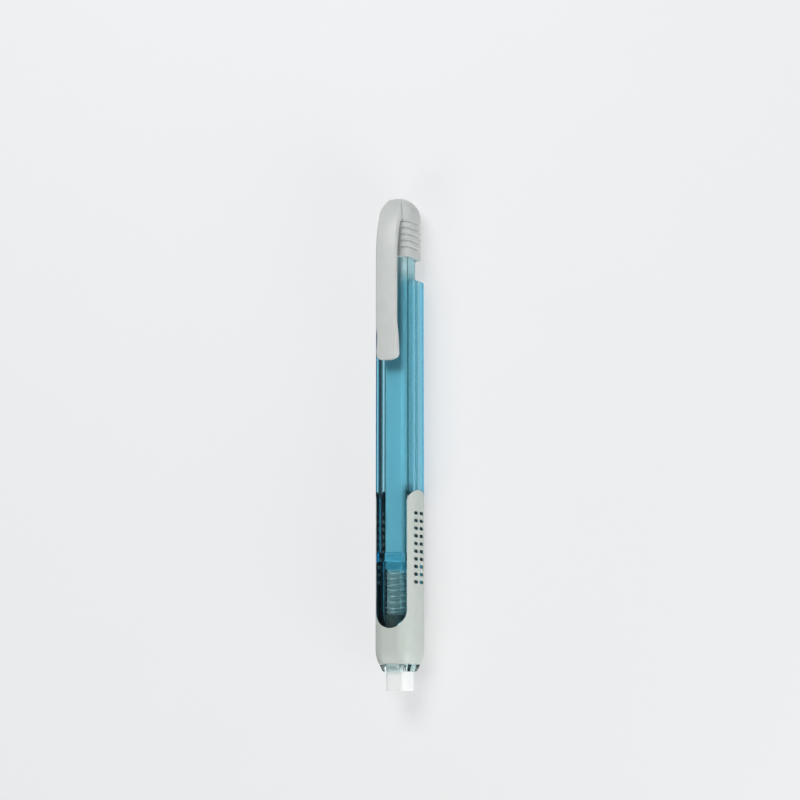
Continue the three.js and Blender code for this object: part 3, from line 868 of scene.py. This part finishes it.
def make_barrel():
    size = sizes()
    front, rear = along("barrel")
    half = half_width("barrel")
    corner = size.barrel_corner
    bore = half - size.barrel_wall
    bore_corner = size.bore_corner
    chamber = size.chamber_radius
    guide = half_width("inner_tube") + size.tube_clearance
    guide_front = along("inner_tube")[0]
    guide_rear = guide_front + size.guide_length
    edge = size.thin_edge
    profile = [
        (front, half, corner, edge),
        (rear, half, corner, size.barrel_rim),
        (rear, bore, bore_corner, size.barrel_rim),
        (guide_rear, bore, bore_corner, edge),
        (guide_rear, guide, size.guide_corner, edge),
        (guide_front, guide, size.guide_corner, edge),
        (guide_front, chamber, chamber, edge),
        (front, chamber, chamber, edge),
    ]
    barrel = loft("barrel_shell", profile, loop=True)
    depth = size.grip_wall + size.grip_fit
    recess_end = along("grip_sleeve")[1] + OVERCUT
    wide = half + OVERCUT
    recess = loft(
        "recess",
        [
            (front - OVERCUT, wide, corner + OVERCUT, 0),
            (recess_end, wide, corner + OVERCUT, 0),
            (recess_end, half - depth, corner - depth, 0),
            (front - OVERCUT, half - depth, corner - depth, 0),
        ],
        loop=True,
    )
    carve(recess, cut_from_above("window", window_outline(size.grip_fit)))
    carve(recess, cut_from_side("arch", arch_outline(size.grip_fit), 3 * half))
    carve(barrel, recess)
    dress(barrel, "clear_blue", "body", "barrel")


def slot_cutter():
    """One slot with round ends, right through the pen from side to side."""
    size = sizes()
    height = PEN_AXIS - size.slot_spread / 2
    y = NOSE + size.slot_start
    radius = size.slot_height / 2
    straight = size.slot_length / 2 - radius
    outline = arc(straight, 0, radius, radius, -pi / 2, pi / 2)
    outline += arc(-straight, 0, radius, radius, pi / 2, 3 * pi / 2)
    reach = half_width("grip_sleeve") + OVERCUT
    return skin("slot", [[(x, y + v, height + u) for u, v in outline] for x in (-reach, reach)])


def make_grip():
    size = sizes()
    half = half_width("grip_sleeve")
    corner = size.barrel_corner
    inner = half - size.grip_wall
    inner_corner = corner - size.grip_wall
    mouth = size.jaw_head_half + size.mouth_clearance
    mouth_corner = size.jaw_head_corner + size.mouth_clearance
    spigot = size.chamber_radius - size.grip_fit
    top = along("grip_sleeve")[1] + OVERCUT
    floor = NOSE + size.nose_floor
    throat = floor - 2 * size.grip_wall
    throat_radius = mouth - size.throat_step
    seat = floor + size.spigot_length
    edge = size.thin_edge
    profile = [(NOSE, mouth, mouth_corner, edge)]
    for step in range(CURVE_STEPS + 1):
        share = step / CURVE_STEPS
        inset = size.nose_draw * (1 - share) ** 2
        profile.append((NOSE + size.nose_round * share, half - inset, corner - inset, 0))
    profile += [
        (top, half, corner, 0),
        (top, inner, inner_corner, 0),
        (floor, inner, inner_corner, edge),
        (floor, throat_radius, throat_radius, 0),
        (throat, throat_radius, throat_radius, 0),
        (throat, mouth, mouth_corner, 0),
    ]
    sleeve = loft("sleeve_blank", profile, loop=True)
    carve(sleeve, cut_from_above("window", window_outline(0)))
    carve(sleeve, cut_from_side("arch", arch_outline(0), 3 * half))
    root = floor - size.grip_wall
    seat_profile = [
        (root, spigot, spigot, 0),
        (seat, spigot, spigot, edge),
        (seat, mouth, mouth, edge),
        (root, mouth, mouth, 0),
    ]
    combine(sleeve, loft("spigot", seat_profile, loop=True), "UNION")
    row_step = (0, size.slot_pitch, 0)
    column_step = (0, 0, size.slot_spread)
    grip = cut_repeatedly(
        "grip_shell", sleeve, slot_cutter(), size.slot_rows, row_step, 2, column_step, "grip_grey"
    )
    soften(grip, size.grip_edge)
    # the map by which the grip's finish paints shade inside it
    map_painted_shade(grip)
    dress(grip, "grip_grey", "body", "grip_sleeve")


def map_painted_shade(grip):
    """Maps how far each point of the grip lies under its outer skin, up to its whole wall: the grip's
    finish paints shade by it.
    """
    size = sizes()
    flat = half_width("grip_sleeve") - size.barrel_corner
    depths = grip.data.attributes.new(PAINTED_SHADE_MAP, "FLOAT", "POINT").data
    for depth, vertex in zip(depths, grip.data.vertices):
        x, y, z = vertex.co
        to_end = max(1 - (y - NOSE) / size.nose_round, 0.0)
        corner = size.barrel_corner - size.nose_draw * to_end**2
        over_x = abs(x) - flat
        over_z = abs(z - PEN_AXIS) - flat
        reach = Vector((max(over_x, 0.0), max(over_z, 0.0))).length + min(max(over_x, over_z), 0.0)
        depth.value = min(max((corner - reach - size.grip_edge) / (size.grip_wall / 2), 0.0), 1.0)


def stick_bore():
    """Half side and corner of the bore that the stick runs in."""
    size = sizes()
    return half_width("eraser") + size.stick_clearance, size.eraser_corner + size.stick_clearance


def make_sleeve(name, node, corner):
    """A clear sleeve round the stick, as long and as wide as its node."""
    front, rear = along(node)
    half = half_width(node)
    bore = stick_bore()
    edge = sizes().thin_edge
    profile = [
        (front, half, corner, edge),
        (rear, half, corner, edge),
        (rear, *bore, edge),
        (front, *bore, edge),
    ]
    dress(loft(name, profile, loop=True), "clear_teal", "carrier", node)


def make_tube():
    make_sleeve("tube_shell", "inner_tube", sizes().tube_corner)
    make_sleeve("collar_ring", "chuck_collar", half_width("chuck_collar"))


def square_reach(angle, half, corner):
    """Distance from the axis to a rounded square, up to 45 degrees from the middle of its side."""
    turn = abs(angle)
    flat = half - corner
    if half * tan(turn) <= flat:
        return half / cos(turn)
    middle = flat * (cos(turn) + sin(turn))
    return middle + sqrt(middle**2 - 2 * flat**2 + corner**2)


def jaw_ring(y, half, corner, width):
    """A section of a jaw: as wide as given, or out to the slits between the jaws if width is None."""
    size = sizes()
    bore, bore_corner = stick_bore()
    if width:
        outer_turn = asin(width / 2 / half)
        inner_turn = atan(width / 2 / bore)
    else:
        outer_turn = pi / 4 - asin(size.jaw_slit / 2 / square_reach(pi / 4, half, corner))
        inner_turn = pi / 4 - asin(size.jaw_slit / 2 / square_reach(pi / 4, bore, bore_corner))
    points = []
    for turn, side, side_corner in ((outer_turn, half, corner), (-inner_turn, bore, bore_corner)):
        for step in range(CURVE_STEPS + 1):
            angle = turn * (2 * step / CURVE_STEPS - 1)
            reach = square_reach(angle, side, side_corner)
            points.append(Vector((reach * sin(angle), y, reach * cos(angle))))
    return points


def make_jaws():
    size = sizes()
    for quarter, side in enumerate(("top", "right", "bottom", "left")):
        node = f"chuck_jaw_{side}"
        tip, root = along(node)
        head = size.jaw_head_half
        head_corner = size.jaw_head_corner
        flat = head - head_corner
        head_end = tip + size.jaw_head
        neck_start = head_end + size.jaw_taper
        neck = size.jaw_radius
        edge = size.thin_edge
        lip_end = NOSE - size.lip_gap
        lip = half_width("grip_sleeve") - size.nose_draw - size.lip_inset
        lip_tip = lip - size.lip_draw
        slope = size.lip_draw / (lip_end - tip)
        outline = [
            (tip, lip_tip - edge),
            (tip + edge, lip_tip + slope * edge),
            (lip_end - edge, lip - slope * edge),
            (lip_end, lip - edge),
            (lip_end, head),
            (head_end, head),
        ]
        rings = [jaw_ring(y, half, half - flat, None) for y, half in outline]
        rings += [
            jaw_ring(neck_start, neck, neck, None),
            jaw_ring(neck_start, neck, neck, size.jaw_width),
            jaw_ring(root, neck, neck, size.jaw_width),
        ]
        turn = Matrix.Translation((0, 0, PEN_AXIS)) @ Matrix.Rotation(quarter * pi / 2, 4, "Y")
        jaw = skin(f"jaw_finger_{side}", [[turn @ point for point in ring] for ring in rings])
        dress(jaw, "clear_teal", f"jaw_{side}", node, look="smoky_teal")


def make_spring():
    size = sizes()
    front, rear = along("return_spring")
    values = {
        "Front Turns": size.front_turns,
        "Open Turns": size.open_turns,
        "Rear Turns": size.rear_turns,
        "Radius": size.coil_radius,
        "Wire": size.wire,
        "Closed Pitch": size.wire + size.closed_gap,
        "Start": front,
        "End": rear,
        "Height": PEN_AXIS,
        "Steps": COIL_STEPS,
        "Sides": WIRE_SIDES,
        "Material": finish("spring_steel"),
    }
    spring = object_of("spring_coil", bmesh.new())
    run_tree(spring, coil_tree(), values)
    dress(spring, "spring_steel", "body", "return_spring")
    keep = 1 - slide_travel("button_press") / (rear - front)
    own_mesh(spring)


def slide_travel(name):
    """How far a sliding joint travels."""
    joint = next(joint for joint in frame["joints"] if joint["name"] == name)
    low, high = joint["range_m"]
    return high - low


def groove_cutter():
    """A round-bottomed groove round the button that stops out of sight under the clip."""
    size = sizes()
    half = half_width("push_button")
    bare = size.clip_waist_width / 2 - size.groove_depth
    y = along("push_button")[0] + size.rib_start
    path = square_ring(y, half, size.button_corner)
    steps = [after - before for before, after in zip(path, path[2:] + path[:2])]
    normals = [step.cross(Vector((0, 1, 0))).normalized() for step in steps]
    normals = normals[-1:] + normals[:-1]
    start = ARC_STEPS + 1
    turned = list(zip(path, normals))
    turned = turned[start:] + turned[:start]
    kept = [(point, normal) for point, normal in turned if point.z < PEN_AXIS or abs(point.x) > bare]
    section = arc(0, 0, size.groove_width / 2, size.groove_depth, pi, 2 * pi)
    section += [(size.groove_width / 2, OVERCUT), (-size.groove_width / 2, OVERCUT)]
    rings = []
    for point, normal in kept:
        outward = normal if normal.dot(point - Vector((0, y, PEN_AXIS))) > 0 else -normal
        rings.append([point + outward * out + Vector((0, side, 0)) for side, out in section])
    return skin("groove", rings)


def clip_places():
    """Places that the clip and its seat share: along the pen, and heights over its axis."""
    size = sizes()
    low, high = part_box("pocket_clip")
    rear = along("push_button")[1]
    lip_height = low.z - PEN_AXIS
    foot_top = rear - size.button_crown + size.tube_clearance
    return {
        "end": low.y,
        "lip": high.y,
        "lip_height": lip_height,
        "face": lip_height + size.clip_lip_inset,
        "outer": high.z - PEN_AXIS,
        "under": high.z - PEN_AXIS - size.clip_thickness,
        "root_under": half_width("push_button") + size.clip_root_gap,
        "foot_top": foot_top,
        "foot_front": foot_top - size.clip_foot,
        "shoulder": rear - size.clip_shoulder,
        "bend": rear - size.clip_bend,
        "dome": rear - size.dome_height,
    }


def make_button():
    size = sizes()
    front, rear = along("push_button")
    half = half_width("push_button")
    corner = size.button_corner
    socket = half_width("inner_tube") + size.socket_fit
    socket_corner = size.tube_corner + size.socket_fit
    floor = rear - size.button_crown
    edge = size.button_edge
    profile = [
        (floor, POLE, POLE, 0),
        (floor, socket, socket_corner, size.thin_edge),
        (front, socket, socket_corner, size.thin_edge),
        (front, half, corner, edge),
    ]
    for step in range(CURVE_STEPS):
        angle = step / CURVE_STEPS * pi / 2
        share = cos(angle)
        profile.append((rear - size.dome_height * (1 - sin(angle)), half * share, corner * share, 0))
    profile.append((rear, POLE, POLE, 0))
    blank = loft("button_blank", profile)
    place = clip_places()
    gap = size.seat_gap
    lip = place["lip_height"] - gap
    seat = [
        (place["under"], place["foot_front"] - gap),
        (place["face"] - gap, place["foot_front"] - gap),
        (place["face"] - gap, place["foot_top"]),
        (lip, place["lip"]),
        (lip, rear + OVERCUT),
        (place["under"], rear + OVERCUT),
    ]
    carve(blank, cut_from_side("seat", seat, size.clip_root_width / 2 + gap))
    row_step = (0, size.rib_pitch, 0)
    button = cut_repeatedly(
        "button_cap", blank, groove_cutter(), size.grooves, row_step, 1, (0, 0, 0), "button_grey"
    )
    dress(button, "button_grey", "carrier", "push_button")


def bend_at(y, start, control, end):
    """Value at a place of a curve from one (value, place) to another, drawn towards a third between."""
    square = start[1] - 2 * control[1] + end[1]
    slope = 2 * (control[1] - start[1])
    rest = start[1] - y
    if abs(square) < WELD / 10:
        t = -rest / slope
    else:
        root = sqrt(max(slope**2 - 4 * square * rest, 0.0))
        both = [(-slope - root) / (2 * square), (-slope + root) / (2 * square)]
        t = next(t for t in both if -CURVE_SLACK < t < 1 + CURVE_SLACK)
    return start[0] * (1 - t) ** 2 + control[0] * 2 * t * (1 - t) + end[0] * t**2


def clip_half_width(y, place):
    """Half the clip's width at a place along the pen."""
    size = sizes()
    root = size.clip_root_width / 2
    waist = size.clip_waist_width / 2
    end = size.clip_end_width / 2
    waist_top = place["foot_front"] - size.clip_neck
    waist_end = place["end"] + size.clip_flare
    corner = place["end"] + size.clip_end_corner
    if y > place["dome"]:
        return root * sqrt(1 - ((y - place["dome"]) / size.dome_height) ** 2)
    if y > place["foot_front"]:
        return root
    if y > waist_top:
        middle = (waist_top + place["foot_front"]) / 2
        return bend_at(y, (root, place["foot_front"]), (waist, middle), (waist, waist_top))
    if y > waist_end:
        return waist
    if y > corner:
        return bend_at(y, (waist, waist_end), (waist, (waist_end + corner) / 2), (end, corner))
    return bend_at(y, (end, corner), (end, place["end"]), (end - size.clip_end_corner, place["end"]))


def clip_dip(y, place):
    """How far the clip's arm drops towards the barrel at a place along the pen."""
    size = sizes()
    run = size.clip_dip_start - size.clip_dip_end
    share = min(max((place["end"] + size.clip_dip_start - y) / run, 0.0), 1.0)
    eased_share = 2 * share**2 if share < 0.5 else 1 - 2 * (1 - share) ** 2
    return size.clip_dip * eased_share


def clip_outside(y, place):
    if y <= place["shoulder"]:
        return place["outer"] - clip_dip(y, place)
    start = (place["lip_height"], place["lip"])
    return bend_at(y, start, (place["outer"], place["bend"]), (place["outer"], place["shoulder"]))


def nib_drop(x, y, place):
    """How far the nib hangs under the clip at a place."""
    size = sizes()
    along_share = (y - place["end"] - size.clip_nib_inset) / size.clip_nib_length
    across_share = x / size.clip_nib_width + 0.5
    if not (0 < along_share < 1 and 0 < across_share < 1):
        return 0.0
    return size.clip_nib_height * (sin(pi * along_share) ** 2) * sin(pi * across_share)


def clip_inside(y, place):
    if y <= place["shoulder"]:
        return place["under"] - clip_dip(y, place)
    if y <= place["foot_front"]:
        middle = (place["shoulder"] + place["foot_front"]) / 2
        start = (place["under"], place["shoulder"])
        return bend_at(y, start, (place["under"], middle), (place["root_under"], place["foot_front"]))
    if y <= place["foot_top"]:
        return place["face"]
    share = (y - place["foot_top"]) / (place["lip"] - place["foot_top"])
    return place["face"] + (place["lip_height"] - place["face"]) * share


OUTER_EDGE_LIMIT = 0.62  # most of the clip's thickness that its outer edges take up
INNER_EDGE_LIMIT = 0.25  # and its inner edges
CROWN_LIMIT = 0.1  # and its crown


def clip_ring(y, half, low, high, place):
    """A section of the clip: crowned outside, with round edges, and flat inside apart from the nib."""
    size = sizes()
    thick = high - low
    outer_edge = min(size.clip_edge, OUTER_EDGE_LIMIT * thick, EASE_LIMIT * half)
    inner_edge = min(size.clip_back_edge, INNER_EDGE_LIMIT * thick, EASE_LIMIT * half)
    crown = min(size.clip_crown, CROWN_LIMIT * thick)
    side_top = high - crown
    right = arc(half - inner_edge, low + inner_edge, inner_edge, inner_edge, -pi / 2, 0)
    right += arc(half - outer_edge, side_top - outer_edge, outer_edge, outer_edge, 0, pi / 2)
    flat = half - outer_edge
    for step in range(1, CURVE_STEPS // 2):
        x = flat * (1 - 2 * step / CURVE_STEPS)
        right.append((x, high - crown * (x / flat) ** 2))
    left = [(-x, z) for x, z in reversed(right)]
    inside = half - inner_edge
    under = [inside * (2 * step / CURVE_STEPS - 1) for step in range(1, CURVE_STEPS)]
    bottom = [(x, low - nib_drop(x, y, place)) for x in under]
    return [Vector((x, y, PEN_AXIS + z)) for x, z in right + [(0, high)] + left + bottom]


def clip_stations(place):
    """Places along the clip where its section is drawn, closest where it bends."""
    size = sizes()
    knots = [
        place["end"] + size.clip_edge,
        place["end"] + size.clip_end_corner,
        place["end"] + size.clip_nib_inset + size.clip_nib_length,
        place["end"] + size.clip_dip_end,
        place["end"] + size.clip_flare,
        place["end"] + size.clip_dip_start,
        place["foot_front"] - size.clip_neck,
        place["shoulder"],
        place["foot_front"] - 3 * WELD,
        place["foot_front"] + 3 * WELD,
        place["dome"],
        place["foot_top"],
        place["lip"] - size.seat_gap,
    ]
    knots.sort()
    rounding = [size.clip_edge * (1 - cos(step / CURVE_STEPS * pi / 2)) for step in range(CURVE_STEPS)]
    stations = [place["end"] + inset for inset in rounding]
    for start, end in zip(knots, knots[1:]):
        steps = CURVE_STEPS if end - start > 10 * WELD else 1
        stations += [start + (end - start) * step / steps for step in range(steps)]
    return stations + knots[-1:]


def make_clip():
    size = sizes()
    place = clip_places()
    rings = []
    for y in clip_stations(place):
        short = max(size.clip_edge - (y - place["end"]), 0.0)
        inset = size.clip_edge - sqrt(size.clip_edge**2 - short**2)
        low = clip_inside(y, place) + inset
        high = clip_outside(y, place) - inset
        rings.append(clip_ring(y, clip_half_width(y, place) - inset, low, high, place))
    dress(skin("clip_arm", rings), "button_grey", "clip", "pocket_clip")


def make_eraser():
    size = sizes()
    front, rear = along("eraser")
    half = half_width("eraser")
    corner = size.eraser_corner
    edge = size.eraser_edge
    profile = [
        (front, POLE, POLE, 0),
        (front, half, corner, edge),
        (rear, half, corner, edge),
        (rear, POLE, POLE, 0),
    ]
    dress(loft("eraser_stick", profile), "eraser_white", "stick", "eraser")


# The stage


FLOOR_HALF = 2.0
LAMPS = {  # width, height and place of each lamp, which points at the middle of the floor
    "key": (0.3, 0.2, Vector((0.4, -0.3, 0.11))),
    "fill": (0.3, 0.2, Vector((-0.3, -0.4, 0.4))),
    "top": (0.4, 0.3, Vector((-0.05, 0.4, 0.5))),
}
SKY_STOPS = [(0.0, (0.1, 0.1, 0.11)), (0.6, (0.5, 0.51, 0.52)), (1.0, (1.0, 1.0, 1.0))]
BACKDROP_TOP = 0.25  # how high the backdrop reaches, as the sine of its angle over the horizon
BACKDROP_FADE = 0.2


def add_lamp(name, strength, width, height, place):
    lamp = bpy.data.lights.new(name, "AREA")
    lamp.shape = "RECTANGLE"
    lamp.size = width
    lamp.size_y = height
    lamp.energy = strength
    made = bpy.data.objects.new(name, lamp)
    made.location = place
    made.rotation_euler = (-place).to_track_quat("-Z", "Y").to_euler()
    bpy.context.scene.collection.objects.link(made)


def make_sky(strength):
    """Even light from all round, brighter overhead, and a pale backdrop low down that lights nothing.

    The camera sees the backdrop as bright as the floor, and the pen's gloss shows it in shade.
    """
    world = bpy.data.worlds.new("studio_sky")
    bpy.context.scene.world = world
    world.use_nodes = True
    world.node_tree.nodes.clear()
    net = Net(world.node_tree)
    place = net.node("ShaderNodeTexCoord", {}, {}, "Generated")
    height = net.axis(place, "Z")
    shade = net.node("ShaderNodeValToRGB", {"stops": SKY_STOPS}, {"Fac": height})
    light = net.node("ShaderNodeBackground", {}, {"Color": shade, "Strength": strength})
    pale = (*colours().floor, 1.0)
    backdrop = net.node("ShaderNodeBackground", {}, {"Color": pale, "Strength": 1.0})
    low = net.limit((BACKDROP_TOP - height) / BACKDROP_FADE)
    seen = net.ray("Camera") + net.ray("Glossy") * SHADED_FLOOR
    both = net.node("ShaderNodeMixShader", {}, {0: seen * low, 1: light, 2: backdrop})
    net.node("ShaderNodeOutputWorld", {}, {"Surface": both})


def make_camera(stage):
    """Over the eraser's end, looking up along the pen, with the pen upright in the frame."""
    camera = bpy.data.cameras.new("camera")
    camera.lens = stage.lens
    camera.clip_start = 10 * MM
    made = bpy.data.objects.new("camera", camera)
    away = Vector((sin(stage.roll), 0, cos(stage.roll)))
    stand = Vector((0, stage.foot, PEN_AXIS)) + away * stage.distance
    back = (stand - Vector((0, stage.aim, PEN_AXIS))).normalized()
    right = Vector((0, 1, 0)).cross(back).normalized()
    turn = Matrix((right, back.cross(right), back)).transposed().to_4x4()
    made.matrix_world = Matrix.Translation(stand) @ turn
    bpy.context.scene.collection.objects.link(made)
    bpy.context.scene.camera = made


def make_stage():
    stage = bpy.context.scene.eraser_pen_stage
    bpy.context.scene.view_settings.view_transform = "Standard"
    make_camera(stage)
    build = bmesh.new()
    bmesh.ops.create_grid(build, x_segments=1, y_segments=1, size=FLOOR_HALF)
    floor = object_of("floor", build)
    floor.data.materials.append(finish("pale_floor"))
    make_sky(stage.sky)
    for name, lamp in LAMPS.items():
        add_lamp(name, getattr(stage, name), *lamp)


# Operators


class EraserPenBarrel(Operator):
    """Build the clear barrel"""

    bl_idname = "eraser_pen.barrel"
    bl_label = "Barrel"

    def execute(self, context):
        make_barrel()
        return {"FINISHED"}


class EraserPenGrip(Operator):
    """Build the slotted grip sleeve"""

    bl_idname = "eraser_pen.grip"
    bl_label = "Grip Sleeve"

    def execute(self, context):
        make_grip()
        return {"FINISHED"}


class EraserPenTube(Operator):
    """Build the inner tube and the collar at its front"""

    bl_idname = "eraser_pen.tube"
    bl_label = "Inner Tube"

    def execute(self, context):
        make_tube()
        return {"FINISHED"}


class EraserPenJaws(Operator):
    """Build the four jaws of the clutch"""

    bl_idname = "eraser_pen.jaws"
    bl_label = "Jaws"

    def execute(self, context):
        make_jaws()
        return {"FINISHED"}


class EraserPenSpring(Operator):
    """Build the return spring"""

    bl_idname = "eraser_pen.spring"
    bl_label = "Return Spring"

    def execute(self, context):
        make_spring()
        return {"FINISHED"}


class EraserPenButton(Operator):
    """Build the ribbed push button"""

    bl_idname = "eraser_pen.button"
    bl_label = "Push Button"

    def execute(self, context):
        make_button()
        return {"FINISHED"}


class EraserPenClip(Operator):
    """Build the pocket clip"""

    bl_idname = "eraser_pen.clip"
    bl_label = "Pocket Clip"

    def execute(self, context):
        make_clip()
        return {"FINISHED"}


class EraserPenEraser(Operator):
    """Build the stick of eraser"""

    bl_idname = "eraser_pen.eraser"
    bl_label = "Eraser"

    def execute(self, context):
        make_eraser()
        return {"FINISHED"}


class EraserPenSetStage(Operator):
    """Set the floor, the light and the camera"""

    bl_idname = "eraser_pen.stage"
    bl_label = "Stage"

    def execute(self, context):
        make_stage()
        return {"FINISHED"}


OPERATORS = (
    EraserPenSetStage,
    EraserPenBarrel,
    EraserPenGrip,
    EraserPenTube,
    EraserPenJaws,
    EraserPenSpring,
    EraserPenButton,
    EraserPenClip,
    EraserPenEraser,
)
SETTINGS = {
    "eraser_pen_sizes": EraserPenSizes,
    "eraser_pen_colours": EraserPenColours,
    "eraser_pen_stage": EraserPenStage,
}


class EraserPenPanel(Panel):
    """Sizes, colours and pieces of the eraser pen"""

    bl_idname = "VIEW3D_PT_eraser_pen"
    bl_label = "Eraser Pen"
    bl_space_type = "VIEW_3D"
    bl_region_type = "UI"
    bl_category = "Eraser Pen"

    def draw(self, context):
        for operator in OPERATORS:
            self.layout.operator(operator.bl_idname)
        for setting in SETTINGS:
            group = getattr(context.scene, setting)
            column = self.layout.column()
            for name in group.__annotations__:
                column.prop(group, name)


CLASSES = (*SETTINGS.values(), *OPERATORS, EraserPenPanel)


def register():
    for cls in CLASSES:
        bpy.utils.register_class(cls)
    for name, group in SETTINGS.items():
        setattr(bpy.types.Scene, name, PointerProperty(type=group))


def unregister():
    for name in SETTINGS:
        delattr(bpy.types.Scene, name)
    for cls in reversed(CLASSES):
        bpy.utils.unregister_class(cls)


def main():
    register()
    bpy.ops.eraser_pen.stage()
    bpy.ops.eraser_pen.barrel()
    bpy.ops.eraser_pen.grip()
    bpy.ops.eraser_pen.tube()
    bpy.ops.eraser_pen.jaws()
    bpy.ops.eraser_pen.spring()
    bpy.ops.eraser_pen.button()
    bpy.ops.eraser_pen.clip()
    bpy.ops.eraser_pen.eraser()


if __name__ == "__main__":
    main()
